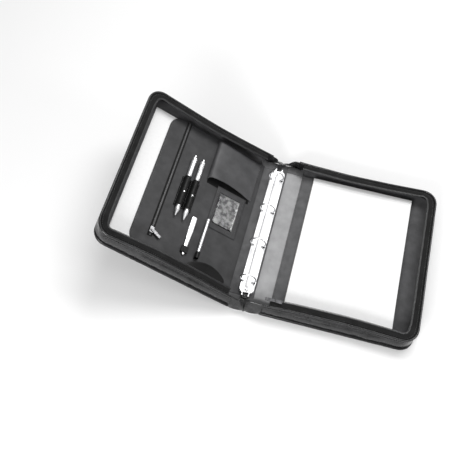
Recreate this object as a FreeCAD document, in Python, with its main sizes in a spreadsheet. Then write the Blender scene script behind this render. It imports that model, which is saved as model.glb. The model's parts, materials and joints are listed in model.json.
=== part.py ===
import FreeCAD, Part
import os
import re
import Sketcher

# A zip-around leather ring organiser for A4 paper, lying open.
# Frame: origin at the middle of the rear cover's underside, +X from the spine to the rear cover's
# free edge, +Y along the spine to its top end, +Z up. Millimetres.
# Each cover is drawn in its own flat frame: u is the distance from its fold, w the height above its
# outer face. The rear cover's x is u and the front cover's x is -u.

DIMENSIONS = {
    "cover_width": 282,      # fold to free edge
    "cover_height": 338,     # along the spine
    "corner_radius": 26,
    "spine_width": 56,       # fold to fold
    "hinge_level": 7,        # height of both folds and of the spine's outer face
    "cover_raised": 27,      # degrees, front cover above the table
    "fold_gap": 0.7,
    "hinge_band_start": 4.5, # clears the spine's stack of layers when a cover is folded upright
    "spine_side_gap": 1.4,
    "spine_end_gap": 3.5,
    "leather": 2,
    "board": 4,
    "lining": 2,
    "pocket_leather": 1.2,
    "wall": 3,               # leather wall round each tray
    "tape_width": 12,
    "tape_drop": 4.5,        # tape underside below the wall's top
    "tape_sheet": 1.2,
    "tape_start": 16,
    "teeth_width": 3,
    "teeth_height": 2.8,
    "rim_gap": 0.4,
    "spine_leather": 1.4,
    "spine_board": 2,
    "spine_lining": 0.6,
    "plate_centre": -3.5,    # ring plate's middle from the spine's middle
    "plate_width": 27,
    "plate_length": 290,
    "plate_height": 7,
    "plate_sheet": 1,
    "ring_pitch": 80,
    "ring_offset": -5.5,     # ring's middle from the spine's middle
    "ring_radius": 14.5,
    "ring_wire": 3,
    "ring_foot": 9.4,        # leg to the ring's middle
    "ring_centre": 30,
    "blade_level": 12,
    "blade_sheet": 1,
    "blade_length": 262,
    "pin_reach": 146.5,      # lever pin from the spine's middle
    "pin_level": 14,
    "pin_bore": 2.5,
    "lever_width": 9.6,
    "lever_length": 13,
    "lever_angle": 32,
    "lever_sheet": 1.6,
    "handle_span": 200,
    "strap_width": 25,
    "strap_sheet": 3,
    "strap_level": 2.1,
    "grip_half": 30,
    "arm_start": 31.5,
    "arm_end": 95,
    "strap_gap": 3,          # between an arm and the end that slides in its keeper
    "panel_level": 9.2,      # organiser panel's underside
    "panel_sheet": 1.8,
    "panel_width": 215,
    "panel_start": 9,
    "pen_radius": 4.5,
    "pen_level": 17,
    "pen_clearance": 0.2,
    "pencil_radius": 3,
    "pencil_level": 16.2,
    "sleeve_wall": 1.2,
    "pocket_zip_middle": 187,
    "puller_turn": 25,       # degrees, towards the near end
    "pad_start": 31,
    "pad_width": 210,
    "pad_length": 297,
    "pad_height": 5,
    "pad_backing": 1,
    "pad_tuck": 10,          # of the card back, under the sleeve strip
    "strip_start": 18,
    "strip_half": 150,
    "strip_sheet": 1.3,
    "rear_band_end": 17.5,   # lining band that crosses the rear fold
    "front_band_end": 8.5,
    "band_half": 160,
    "band_sheet": 0.6,
    "slip_pocket_start": 62, # the band of plain leather by the spine
    "slider_start": 26,
    "slider_length": 12,
    "puller_start": 6,
    "puller_width": 6,
    "pull_sheet": 1.2,
    "cap_half": 24,          # leather ends of the spine
    "cap_sheet": 3,
    "cap_height": 8,
    "rivet_reach": 138,
    "rivet_radius": 1.5,
    "rivet_head": 3.4,
    "slot_length": 4.4,
    "ear_sheet": 2,
    "ear_height": 6,
    "ear_middle": 6.2,
    "base_half": 23,
    "base_length": 24,
    "base_sheet": 1.6,
    "keeper_width": 5,
    "keeper_sheet": 1.6,
    "keeper_post": 3,
    "sheets_start": 52,
    "sheets_width": 210,
    "panel_near": 147,
    "panel_far": 150,
    "panel_corner": 14,
    "panel_hem": 42,
    "lower_start": 24,       # lower pocket
    "lower_end": 104,
    "lower_mouth": 120,
    "lower_sheet": 1.4,
    "phone_start": 43,
    "phone_end": 118,
    "phone_near": 50.5,
    "phone_far": 149,
    "phone_depth": 11,
    "phone_wall": 1.6,
    "phone_hem": 29,
    "card_start": 28,
    "card_end": 92,
    "card_near": 44,
    "card_far": 50,
    "card_frame": 1.9,
    "card_width": 54,
    "card_length": 85.6,
    "card_sheet": 0.8,
    "window_start": 39,
    "window_end": 83,
    "window_near": 32,
    "window_far": 37,
    "pocket_tape": 10,
    "pocket_teeth": 3,
    "pocket_zip_near": 118,
    "pocket_post": 106,      # puller's post, from the middle towards the near end
    "tab_length": 23.6,
    "tab_width": 5.2,
    "tab_sheet": 1.3,
    "pen_near": 45,
    "pen_far": 76,
    "pen_tip": 14,
    "pen_well": 2.8,
    "button_radius": 2.6,
    "clip_width": 3.2,
    "sleeve_near": 36,
    "sleeve_far": 30,
    "opener_middle": 117,
    "opener_width": 10,
    "opener_near": 124,
    "opener_far": 40,
    "opener_sheet": 2,
    "pencil_middle": 91,
    "pencil_near": 112,
    "pencil_far": 33,
    "pencil_point": 6,
    "loop_near": 119,
    "loop_far": 106,
    "slide_gap": 0.1,
}
FLOOR = "(leather + board + lining)"
RIM = "(hinge_level + spine_width / 2 - rim_gap)"
PANEL_TOP = "(panel_level + panel_sheet)"
PLATE_TOP = "(spine_floor + plate_height)"
SHORTHANDS = {
    "spine_floor": "(hinge_level + spine_leather + spine_board + spine_lining)",
    "spine_half": "(cover_height / 2 - spine_end_gap)",
    "side_half": "(spine_width / 2 - spine_side_gap)",
}
RINGS = (-1.5, -0.5, 0.5, 1.5)
ENDS = {"near": -1, "far": 1}
PEN_PLACES = {1: 156, 2: 138}    # u of each pen

doc = FreeCAD.newDocument("ring_organiser")
sheet = doc.addObject("Spreadsheet::Sheet", "Dim")
for row, (alias, number) in enumerate(DIMENSIONS.items(), start=1):
    sheet.set(f"A{row}", alias)
    sheet.set(f"B{row}", str(number))
    sheet.setAlias(f"B{row}", alias)
doc.recompute()

sub_parts = []


def formula(text):
    """A size written with the sheet's words, as an expression that names the sheet."""
    for word, meaning in SHORTHANDS.items():
        text = re.sub(rf"\b{word}\b", meaning, str(text))
    return re.sub(r"[a-z]+(_[a-z]+)*", lambda m: f"Dim.{m[0]}" if m[0] in DIMENSIONS else m[0], str(text))


def bind(thing, field, text):
    thing.setExpression(field, formula(text))


def keep(thing, label, frame):
    """Name a sub-part and put it in its frame: rear, spine or front."""
    thing.Label = label
    if frame == "rear":
        bind(thing, ".Placement.Base.x", "-cover_width / 2")
    elif frame == "spine":
        bind(thing, ".Placement.Base.x", "-cover_width / 2 - spine_width / 2")
    else:
        turn = FreeCAD.Rotation(FreeCAD.Vector(0, 1, 0), DIMENSIONS["cover_raised"])
        thing.Placement = FreeCAD.Placement(FreeCAD.Vector(0, 0, 0), turn)
        angle = "cover_raised * 1 deg"
        bind(thing, ".Placement.Base.x", f"-cover_width / 2 - spine_width - hinge_level * sin({angle})")
        bind(thing, ".Placement.Base.z", f"hinge_level - hinge_level * cos({angle})")
        bind(thing, ".Placement.Rotation.Angle", angle)
    sub_parts.append(thing)
    return thing


def origin_plane(body, role):
    return next(f for f in body.Origin.OriginFeatures if f.Role == role)


def rectangle(body, x, y, z):
    """A sketch of a rectangle in a body, its sizes and place bound to the sheet."""
    sketch = body.newObject("Sketcher::SketchObject", "outline")
    sketch.AttachmentSupport = [(origin_plane(body, "XY_Plane"), "")]
    sketch.MapMode = "FlatFace"
    corners = [FreeCAD.Vector(*p, 0) for p in ((0, 0), (10, 0), (10, 10), (0, 10))]
    for k in range(4):
        sketch.addGeometry(Part.LineSegment(corners[k], corners[(k + 1) % 4]), False)
    for k in range(4):
        sketch.addConstraint(Sketcher.Constraint("Coincident", k, 2, (k + 1) % 4, 1))
    for k, kind in enumerate(("Horizontal", "Vertical", "Horizontal", "Vertical")):
        sketch.addConstraint(Sketcher.Constraint(kind, k))
    sketch.addConstraint(Sketcher.Constraint("Coincident", 0, 1, -1, 1))
    across = sketch.addConstraint(Sketcher.Constraint("DistanceX", 0, 1, 0, 2, 10))
    along = sketch.addConstraint(Sketcher.Constraint("DistanceY", 1, 1, 1, 2, 10))
    bind(sketch, f"Constraints[{across}]", f"({x[1]}) - ({x[0]})")
    bind(sketch, f"Constraints[{along}]", f"({y[1]}) - ({y[0]})")
    bind(sketch, ".AttachmentOffset.Base.x", x[0])
    bind(sketch, ".AttachmentOffset.Base.y", y[0])
    bind(sketch, ".AttachmentOffset.Base.z", z)
    return sketch


def upright_edges(shape, side):
    """Names of a plate's upright corner edges: on the +X side, the -X side, or all (side 0)."""
    middle = shape.BoundBox.Center.x
    names = []
    for k, edge in enumerate(shape.Edges, start=1):
        run = edge.Vertexes[-1].Point - edge.Vertexes[0].Point
        upright = abs(run.z) > 0.1 and abs(run.x) + abs(run.y) < 1e-6
        if upright and (side == 0 or side * (edge.Vertexes[0].X - middle) > 0):
            names.append(f"Edge{k}")
    return names


def round_corners(body, base, side, radius):
    doc.recompute()
    fillet = body.newObject("PartDesign::Fillet", "corners")
    fillet.Base = (base, upright_edges(base.Shape, side))
    fillet.Radius = 1
    bind(fillet, "Radius", radius)
    body.Tip = fillet
    return fillet


def plate_body(x, y, z, side=None, radius=None):
    """A body that is a plate, with rounded corners on one side or on both (side 0)."""
    body = doc.addObject("PartDesign::Body", "body")
    pad = body.newObject("PartDesign::Pad", "pad")
    pad.Profile = rectangle(body, x, y, z[0])
    bind(pad, "Length", f"({z[1]}) - ({z[0]})")
    body.Tip = pad
    if radius is not None:
        round_corners(body, pad, side, radius)
    return body


def plate(label, frame, x, y, z, side=None, radius=None):
    return keep(plate_body(x, y, z, side, radius), label, frame)


def outward(frame, u):
    """A cover's range of u as a range of x."""
    if frame == "rear":
        return u
    return (f"-({u[1]})", f"-({u[0]})")


def cover_plate(label, frame, u, margin, w, rounded=True):
    """A layer of a cover: margin is how far it stays inside the cover's outline on three sides."""
    half = f"cover_height / 2 - ({margin})"
    reach = (u, f"cover_width - ({margin})")
    side = 1 if frame == "rear" else -1
    radius = f"corner_radius - ({margin})" if rounded else None
    return plate(label, frame, outward(frame, reach), (f"-({half})", half), w, side, radius)


def rim_band(label, frame, start, margin, width, w):
    """A band that runs round a cover's three free sides, open towards the fold."""
    side = 1 if frame == "rear" else -1
    half = f"cover_height / 2 - ({margin})"
    body = plate_body(outward(frame, (start, f"cover_width - ({margin})")), (f"-({half})", half), w,
                      side, f"corner_radius - ({margin})")
    inner = f"cover_height / 2 - ({margin}) - ({width})"
    reach = outward(frame, (f"({start}) - 5", f"cover_width - ({margin}) - ({width})"))
    hollow = plate_body(reach, (f"-({inner})", inner), (f"({w[0]}) - 1", f"({w[1]}) + 1"),
                        side, f"corner_radius - ({margin}) - ({width})")
    return cut(label, frame, body, [hollow])


def box(x, y, z):
    block = doc.addObject("Part::Box", "block")
    for size, low, span in (("Length", "x", x), ("Width", "y", y), ("Height", "z", z)):
        bind(block, size, f"({span[1]}) - ({span[0]})")
        bind(block, f".Placement.Base.{low}", span[0])
    return block


def rod(x, y, z, radius, direction):
    """A cylinder along x, y or z: the span in its direction, one value in each other."""
    turns = {
        "x": FreeCAD.Rotation(FreeCAD.Vector(0, 1, 0), 90),
        "y": FreeCAD.Rotation(FreeCAD.Vector(1, 0, 0), -90),
        "z": FreeCAD.Rotation(),
    }
    span = {"x": x, "y": y, "z": z}
    cylinder = doc.addObject("Part::Cylinder", "rod")
    cylinder.Placement = FreeCAD.Placement(FreeCAD.Vector(0, 0, 0), turns[direction])
    bind(cylinder, "Radius", radius)
    bind(cylinder, "Height", f"({span[direction][1]}) - ({span[direction][0]})")
    for axis, place in span.items():
        bind(cylinder, f".Placement.Base.{axis}", place[0] if axis == direction else place)
    return cylinder


def fused(pieces):
    if len(pieces) == 1:
        return pieces[0]
    whole = doc.addObject("Part::MultiFuse", "fused")
    whole.Shapes = pieces
    return whole


def join(label, frame, pieces):
    """One sub-part fused from pieces that overlap or touch."""
    return keep(fused(pieces), label, frame)


def group(label, frame, pieces):
    """One sub-part that is several separate, alike pieces."""
    whole = doc.addObject("Part::Compound", "group")
    whole.Links = pieces
    return keep(whole, label, frame)


def cut(label, frame, base, tools):
    hollowed = doc.addObject("Part::Cut", "cut")
    hollowed.Base = base
    hollowed.Tool = fused(tools)
    doc.recompute()
    if hollowed.Shape.Volume > 0.9999 * base.Shape.Volume:
        raise ValueError(f"{label}: nothing was cut away")
    return keep(hollowed, label, frame)


def between(middle, width):
    return (f"({middle}) - ({width}) / 2", f"({middle}) + ({width}) / 2")


def make_rear_cover():
    """The rear cover's layers and the tray wall with its half of the zip."""
    cover_plate("rear_cover_leather", "rear", "fold_gap", "0", ("0", "leather"))
    cover_plate("rear_cover_board", "rear", "fold_gap + 1", "wall + 0.1", ("leather", "leather + board"))
    cover_plate("rear_lining", "rear", "fold_gap", "wall + 0.1", ("leather + board", FLOOR))
    rim_band("rear_tray_wall", "rear", "fold_gap + 1", "0", "wall", ("leather", RIM))
    make_zip_half("rear")


def make_front_cover():
    """The front cover's layers; its outer face is a slip pocket that leaves a band by the spine."""
    cover_plate("front_outer_pocket", "front", "slip_pocket_start", "0", ("0", "pocket_leather"))
    cover_plate("front_cover_leather", "front", "fold_gap", "0",
                ("pocket_leather", "pocket_leather + leather"))
    cover_plate("front_cover_board", "front", "fold_gap + 1", "wall + 0.1",
                ("pocket_leather + leather", "leather + board"))
    cover_plate("front_lining", "front", "fold_gap", "wall + 0.1", ("leather + board", FLOOR))
    rim_band("front_tray_wall", "front", "fold_gap + 1", "0", "wall", ("pocket_leather + leather", RIM))
    make_zip_half("front")


def make_zip_half(frame):
    """A cover's half of the main zip: a tape inside the wall's top and the teeth on its edge."""
    low = f"{RIM} - tape_drop"
    rim_band(f"{frame}_zip_tape", frame, "tape_start", "wall", "tape_width",
             (low, f"{low} + tape_sheet"))
    rim_band(f"{frame}_zip_teeth", frame, "tape_start", "wall + tape_width", "teeth_width",
             (f"{low} - 0.8", f"{low} - 0.8 + teeth_height"))


def make_main_zip_pull():
    """The main zip's slider, a channel round the teeth, and the puller lying along the tape."""
    inner = "cover_height / 2 - wall - tape_width - teeth_width"
    edge = f"-({inner}) + 1.6"
    teeth_low = f"{RIM} - tape_drop - 0.8"
    teeth_top = f"{teeth_low} + teeth_height"
    sheet_low = f"{teeth_low} - 0.2 - pull_sheet"
    sheet_top = f"{teeth_top} + 0.3 + pull_sheet"
    run = ("slider_start", "slider_start + slider_length")
    top = box(run, (f"-({inner}) - teeth_width - 2", edge), (f"{teeth_top} + 0.2", sheet_top))
    bottom = box(run, (f"-({inner}) - teeth_width + 0.6", edge), (sheet_low, f"{teeth_low} - 0.2"))
    back = box(run, (f"-({inner}) + 0.3", edge), (sheet_low, sheet_top))
    join("main_zip_slider", "rear", [top, bottom, back])
    plate("main_zip_puller", "rear", ("puller_start", "slider_start - 1"),
          between(f"-({inner}) - teeth_width / 2", "puller_width"),
          (f"{teeth_top} + 0.2", f"{teeth_top} + 0.2 + pull_sheet"), 0, "1.8")


def make_pad():
    """The writing pad: a card back tucked under a sleeve strip, and the paper on it."""
    half = "pad_length / 2"
    low = f"{FLOOR} + slide_gap"
    end = "pad_start + pad_width"
    backing_top = f"{low} + pad_backing"
    strip_low = f"{backing_top} + slide_gap"
    along = ("-strip_half", "strip_half")
    strip = box(("strip_start", "pad_start + pad_tuck - 0.5"), along,
                (strip_low, f"{strip_low} + strip_sheet"))
    hem = box(("strip_start", "pad_start - 0.3"), along, (FLOOR, strip_low))
    join("pad_sleeve_strip", "rear", [strip, hem])
    plate("pad_backing", "rear", ("pad_start", end), (f"-{half}", half), (low, backing_top))
    plate("writing_pad", "rear", ("pad_start + pad_tuck", end), (f"-{half}", half),
          (backing_top, f"{backing_top} + pad_height"))
    plate("rear_hinge_band", "rear", ("hinge_band_start", "rear_band_end"), ("-band_half", "band_half"),
          (FLOOR, f"{FLOOR} + band_sheet"))


def make_spine():
    """The spine's layers and the low leather ends that close it."""
    levels = ("hinge_level", "hinge_level + spine_leather",
              "hinge_level + spine_leather + spine_board", "spine_floor")
    across = ("-side_half", "side_half")
    along = ("-spine_half", "spine_half")
    plate("spine_leather", "spine", across, along, levels[0:2])
    cap_z = ("spine_floor", "spine_floor + cap_height")
    caps = [box(("-cap_half", "cap_half"), span_at(way, "spine_half - cap_sheet", "spine_half"), cap_z)
            for way in ENDS.values()]
    group("spine_ends", "spine", caps)
    holes = rivet_rods(("hinge_level", "spine_floor + 20"), "rivet_radius + slide_gap")
    board = box(across, along, levels[1:3])
    cut("spine_board", "spine", board, holes[:2])
    lining = box(across, along, levels[2:4])
    cut("spine_lining", "spine", lining, holes[2:4])
    return holes[4:]


def rivet_rods(z, radius):
    """Cylinders at the two rivets, three sets of them."""
    return [rod("plate_centre", f"{way} * rivet_reach", z, radius,
                "z") for _ in range(3) for way in (-1, 1)]


def make_ring_plate(rivet_holes):
    """The ring mechanism's cover plate: a shallow channel with rounded ends, ears and ring slots."""
    half = "plate_length / 2"
    shell = plate_body(between("plate_centre", "plate_width"), (f"-{half}", half),
                       ("spine_floor", PLATE_TOP), 0, "plate_width / 2 - 1")
    ears = [box(between(f"plate_centre + {side} * ear_middle", "ear_sheet"),
                span_at(way, "pin_reach - 5", "pin_reach + 2.2"), ("spine_floor",
                                                                   "spine_floor + ear_height"))
            for side in (-1, 1) for way in (-1, 1)]
    cavity = plate_body(between("plate_centre", "plate_width - 2 * plate_sheet"),
                        (f"-({half} - plate_sheet)", f"{half} - plate_sheet"),
                        ("spine_floor - 1", f"{PLATE_TOP} - plate_sheet"), 0, "plate_width / 2 - 2.2")
    slot_spans = (("-ring_foot - 4", "-ring_foot + 2.1"), ("ring_foot - 2.1", "ring_foot + 5.4"))
    slots = [box((f"ring_offset + {low}", f"ring_offset + {high}"),
                 between(f"{n} * ring_pitch", "slot_length"),
                 ("blade_level - 0.5", f"{PLATE_TOP} + 1"))
             for n in RINGS for low, high in slot_spans]
    pin_bores = [rod(between("plate_centre", "16"), f"{way} * pin_reach", "pin_level",
                     "pin_bore / 2 - 0.05", "x")
                 for way in (-1, 1)]
    lever_room = [box(between("plate_centre", "lever_width + 0.6"),
                      span_at(way, "pin_reach - 4.2", "pin_reach + 6"), ("spine_floor - 1",
                                                                         f"{PLATE_TOP} + 1"))
                  for way in (-1, 1)]
    openings = [cavity] + slots + pin_bores + lever_room + rivet_holes
    cut("ring_plate", "spine", fused([shell] + ears), openings)
    heads = []
    for way in (-1, 1):
        head = doc.addObject("Part::Sphere", "head")
        y = f"{way} * rivet_reach"
        bind(head, "Radius", "rivet_head")
        bind(head, ".Placement.Base.x", "plate_centre")
        bind(head, ".Placement.Base.y", y)
        bind(head, ".Placement.Base.z", f"{PLATE_TOP} - 1.6")
        dome = doc.addObject("Part::Cut", "dome")
        dome.Base = head
        dome.Tool = box(between("plate_centre", "9"), between(y, "9"), ("0", PLATE_TOP))
        shank_z = ("hinge_level + spine_leather", f"{PLATE_TOP} + 0.5")
        shank = rod("plate_centre", y, shank_z, "rivet_radius", "z")
        heads.append(fused([dome, shank]))
    group("ring_plate_rivets", "spine", heads)


def span_at(way, low, high):
    """A span of y from low to high at the far end, or its mirror image at the near end."""
    return (low, high) if way > 0 else (f"-({high})", f"-({low})")


def make_ring_half(label, side):
    """Four half rings on one blade: each a short leg and an arc to the top."""
    drop = "sqrt(ring_radius ^ 2 - ring_foot ^ 2)"
    blade_x = ("ring_offset - ring_foot - 0.8", "ring_offset - 0.3")
    if side > 0:
        blade_x = ("ring_offset + 0.3", "ring_offset + ring_foot + 0.8")
    pieces = [box(blade_x, between("0", "blade_length"), ("blade_level", "blade_level + blade_sheet"))]
    for n in RINGS:
        leg_x = f"ring_offset + {side} * ring_foot"
        y = f"{n} * ring_pitch"
        pieces.append(rod(leg_x, y, ("blade_level + 0.2", f"ring_centre - {drop}"), "ring_wire / 2", "z"))
        knee = doc.addObject("Part::Sphere", "knee")
        bind(knee, "Radius", "ring_wire / 2")
        bind(knee, ".Placement.Base.x", leg_x)
        bind(knee, ".Placement.Base.y", y)
        bind(knee, ".Placement.Base.z", f"ring_centre - {drop}")
        arc = doc.addObject("Part::Torus", "arc")
        turn = FreeCAD.Rotation(FreeCAD.Vector(0, 0, 1), FreeCAD.Vector(side, 0, 0),
                                FreeCAD.Vector(0, side, 0), "XYZ")
        arc.Placement = FreeCAD.Placement(FreeCAD.Vector(0, 0, 0), turn)
        bind(arc, "Radius1", "ring_radius")
        bind(arc, "Radius2", "ring_wire / 2")
        bind(arc, "Angle3", "180 deg - asin(ring_foot / ring_radius)")
        bind(arc, ".Placement.Base.x", f"ring_offset + {side} * 0.05")
        bind(arc, ".Placement.Base.y", y)
        bind(arc, ".Placement.Base.z", "ring_centre")
        pieces += [knee, arc]
    join(label, "spine", pieces)


def make_levers():
    """A trigger lever on a pin at each end of the ring plate."""
    pins = [rod(between("plate_centre", "2 * ear_middle + ear_sheet"), f"{way} * pin_reach", "pin_level",
                "pin_bore / 2 - 0.05", "x")
            for way in ENDS.values()]
    group("lever_pins", "spine", pins)
    for end, way in ENDS.items():
        y = f"{way} * pin_reach"
        barrel = rod(between("plate_centre", "lever_width"), y, "pin_level", "2.7", "x")
        arm = doc.addObject("Part::Box", "arm")
        tilt = DIMENSIONS["lever_angle"] if way > 0 else 180 - DIMENSIONS["lever_angle"]
        turn = FreeCAD.Rotation(FreeCAD.Vector(1, 0, 0), tilt)
        arm.Placement = FreeCAD.Placement(FreeCAD.Vector(0, 0, 0), turn)
        bind(arm, "Length", "lever_width")
        bind(arm, "Width", "lever_length")
        bind(arm, "Height", "lever_sheet")
        bind(arm, ".Placement.Base.x", "plate_centre - lever_width / 2")
        bind(arm, ".Placement.Base.y", y if way > 0 else f"{y} + lever_sheet * sin(lever_angle * 1 deg)")
        lift = "0" if way > 0 else "lever_sheet * cos(lever_angle * 1 deg)"
        bind(arm, ".Placement.Base.z", f"pin_level + 0.6 + {lift}")
        bore = rod(between("plate_centre", "12"), y, "pin_level", "pin_bore / 2 + 0.05", "x")
        cut(f"trigger_lever_{end}", "spine", fused([barrel, arm]), [bore])


def make_handle():
    """The strap handle, flat under the spine: a padded grip, two arms and two ends in keepers."""
    strap_x = ("-strap_width / 2", "strap_width / 2")
    strap_z = ("strap_level", "strap_level + strap_sheet")
    plate("handle_grip", "spine", strap_x, ("-grip_half", "grip_half"),
          ("strap_level - 1", "strap_level + strap_sheet + 1"), 0, "4")
    base_low = "hinge_level - base_sheet"
    half_span = "handle_span / 2"
    bases = []
    keepers = []
    for end, way in ENDS.items():
        base_y = span_at(way, f"{half_span} - base_length / 2", f"{half_span} + base_length / 2")
        bases.append(plate_body(("-base_half", "base_half"), base_y, (base_low, "hinge_level"), 0, "8"))
        keeper_y = between(f"{way} * {half_span}", "keeper_width")
        posts = [box(between(f"{side} * (strap_width / 2 + 2.4)", "keeper_post"), keeper_y,
                     ("0.1", base_low))
                 for side in (-1, 1)]
        bar = box(between("0", "strap_width + 4.8 + keeper_post"), keeper_y,
                  ("0.1", "0.1 + keeper_sheet"))
        keepers.append(fused(posts + [bar]))
        plate(f"handle_arm_{end}", "spine", strap_x, span_at(way, "arm_start", "arm_end"), strap_z)
        tongue = box(strap_x, span_at(way, "arm_end + strap_gap", "arm_end + 30"), strap_z)
        stop = box(strap_x, span_at(way, "arm_end + 26", "arm_end + 30"),
                   ("0.4", "strap_level + strap_sheet"))
        join(f"handle_end_{end}", "spine", [tongue, stop])
    group("handle_bases", "spine", bases)
    group("handle_keepers", "spine", keepers)


def make_organiser():
    """The front tray's contents: loose sheets, the pocket panel and what it carries."""
    half = "pad_length / 2"
    plate("document_sheets", "front", ("-(sheets_start + sheets_width)", "-sheets_start"),
          (f"-{half}", half),
          (FLOOR, "panel_level - slide_gap"))
    along = ("-panel_near", "panel_far")
    panel = plate_body(("-(panel_start + panel_width)", "-panel_start"), along,
                       ("panel_level", PANEL_TOP), -1, "panel_corner")
    hem = box(("-(panel_start + panel_hem)", "-panel_start"), along, (FLOOR, "panel_level"))
    join("organiser_panel", "front", [panel, hem])
    plate("front_hinge_band", "front", ("-front_band_end", "-hinge_band_start"),
          ("-band_half", "band_half"),
          (FLOOR, f"{FLOOR} + band_sheet"))
    plate("lower_pocket", "front", ("-lower_end", "-lower_start"), ("-panel_near", "-lower_mouth"),
          (PANEL_TOP, f"{PANEL_TOP} + lower_sheet"))
    make_phone_pocket()
    make_card_pocket()
    make_pocket_zip()
    make_pens()
    make_tools()


def make_phone_pocket():
    """A flat hem by the spine and a deep pocket beside it, open towards the near end."""
    along = ("phone_near", "phone_far")
    hem = box(("-phone_start - 2", "-phone_start - 2 + phone_hem"), along,
              (PANEL_TOP, f"{PANEL_TOP} + pocket_leather"))
    case = box(("-phone_end", "-phone_start"), along, (PANEL_TOP, f"{PANEL_TOP} + phone_depth"))
    room = box(("-phone_end + phone_wall", "-phone_start - phone_wall"),
               ("phone_near - 5", "phone_far - phone_wall"),
               (f"{PANEL_TOP} + pocket_leather", f"{PANEL_TOP} + phone_depth - 1.4"))
    cut("phone_pocket", "front", fused([hem, case]), [room])


def make_card_pocket():
    """A window frame over an identity card, open at its near end."""
    middle = "-(window_start + window_end) / 2"
    frame = box(("-card_end", "-card_start"), ("-card_near", "card_far"),
                (PANEL_TOP, f"{PANEL_TOP} + card_frame"))
    slot = box(between(middle, "card_width + 0.6"), ("-card_near - 6", "card_far - 2"),
               (f"{PANEL_TOP} - 1", f"{PANEL_TOP} + card_sheet + 0.3"))
    window = box(("-window_end", "-window_start"), ("-window_near", "window_far"),
                 (PANEL_TOP, f"{PANEL_TOP} + 4"))
    cut("card_pocket", "front", frame, [slot, window])
    card_low = f"{PANEL_TOP} + slide_gap"
    plate("identity_card", "front", between(middle, "card_width"),
          ("card_far - 2.4 - card_length", "card_far - 2.4"),
          (card_low, f"{card_low} + card_sheet"), 0, "3")


def make_pocket_zip():
    """The zip of the long pocket with its slider and puller."""
    middle = "-pocket_zip_middle"
    post_y = "-pocket_post"
    along = ("-pocket_zip_near", "panel_far")
    plate("pocket_zip_tape", "front", between(middle, "pocket_tape"), along,
          (PANEL_TOP, f"{PANEL_TOP} + 0.6"))
    plate("pocket_zip_teeth", "front", between(middle, "pocket_teeth"), along,
          (f"{PANEL_TOP} + 0.6", f"{PANEL_TOP} + 1.8"))
    run = between(post_y, "slider_length")
    cap = box(between(middle, "pocket_teeth + 4"), run, (f"{PANEL_TOP} + 2", f"{PANEL_TOP} + 3.2"))
    cheeks = [box(between(f"{middle} + {side} * 2.8", "1.4"), run,
                  (f"{PANEL_TOP} + 0.8", f"{PANEL_TOP} + 3.2"))
              for side in (-1, 1)]
    post = rod(middle, post_y, (f"{PANEL_TOP} + 3", f"{PANEL_TOP} + 6"), "1.3", "z")
    join("pocket_zip_slider", "front", [cap, post] + cheeks)
    tab = doc.addObject("Part::Box", "tab")
    turn = FreeCAD.Rotation(FreeCAD.Vector(0, 0, 1), -DIMENSIONS["puller_turn"])
    tab.Placement = FreeCAD.Placement(FreeCAD.Vector(0, 0, 0), turn)
    angle = "puller_turn * 1 deg"
    bind(tab, "Length", "tab_length")
    bind(tab, "Width", "tab_width")
    bind(tab, "Height", "tab_sheet")
    bind(tab, ".Placement.Base.x", f"{middle} - tab_width / 2 * (cos({angle}) + sin({angle}))")
    bind(tab, ".Placement.Base.y", f"{post_y} + tab_width / 2 * (sin({angle}) - cos({angle}))")
    bind(tab, ".Placement.Base.z", f"{PANEL_TOP} + 3.5")
    eye = rod(middle, post_y, (f"{PANEL_TOP} + 2", f"{PANEL_TOP} + 7"), "1.5", "z")
    cut("pocket_zip_puller", "front", tab, [eye])


def make_pens():
    """Two ball pens in one pair of leather sleeves; each has a tip, a clip and a push button."""
    sleeves = []
    along = ("-sleeve_near", "sleeve_far")
    for number, u in PEN_PLACES.items():
        x = f"-{u}"
        tube = rod(x, along, "pen_level", "pen_radius + pen_clearance + sleeve_wall", "y")
        foot = box(between(x, "2 * pen_radius + 1"), along, (PANEL_TOP, "pen_level"))
        bore = rod(x, ("-sleeve_near - 4", "sleeve_far + 4"), "pen_level", "pen_radius + pen_clearance",
                   "y")
        sleeve = doc.addObject("Part::Cut", "sleeve")
        sleeve.Base = fused([tube, foot])
        sleeve.Tool = bore
        sleeves.append(sleeve)
        make_pen(f"pen_{number}", x)
    group("pen_sleeves", "front", sleeves)


def point_at(x, y, z, radius, end_radius, height):
    """A cone that narrows towards the near end."""
    cone = doc.addObject("Part::Cone", "point")
    turn = FreeCAD.Rotation(FreeCAD.Vector(1, 0, 0), 90)
    cone.Placement = FreeCAD.Placement(FreeCAD.Vector(0, 0, 0), turn)
    bind(cone, "Radius1", radius)
    bind(cone, "Radius2", end_radius)
    bind(cone, "Height", height)
    bind(cone, ".Placement.Base.x", x)
    bind(cone, ".Placement.Base.y", y)
    bind(cone, ".Placement.Base.z", z)
    return cone


def make_pen(name, x):
    """One pen: a barrel with a well for the button, a tip, a clip on a collar, and the button."""
    barrel = rod(x, ("-pen_near", "pen_far"), "pen_level", "pen_radius", "y")
    well = rod(x, ("pen_far - 10", "pen_far + 2"), "pen_level", "pen_well", "y")
    cut(f"{name}_barrel", "front", barrel, [well])
    group(f"{name}_tip", "front", [point_at(x, "-pen_near", "pen_level", "pen_radius", "0.9", "pen_tip")])
    collar = rod(x, ("pen_far - 7", "pen_far - 2"), "pen_level", "pen_radius + 0.8", "y")
    bar = box(between(x, "clip_width"), ("sleeve_far + 4", "pen_far - 2"),
              ("pen_level + pen_radius + 0.3", "pen_level + pen_radius + 1.2"))
    inside = rod(x, ("sleeve_far", "pen_far + 4"), "pen_level", "pen_radius + 0.05", "y")
    cut(f"{name}_clip", "front", fused([collar, bar]), [inside])
    group(f"{name}_button", "front",
          [rod(x, ("pen_far - 5.5", "pen_far + 6"), "pen_level", "button_radius", "y")])


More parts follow.
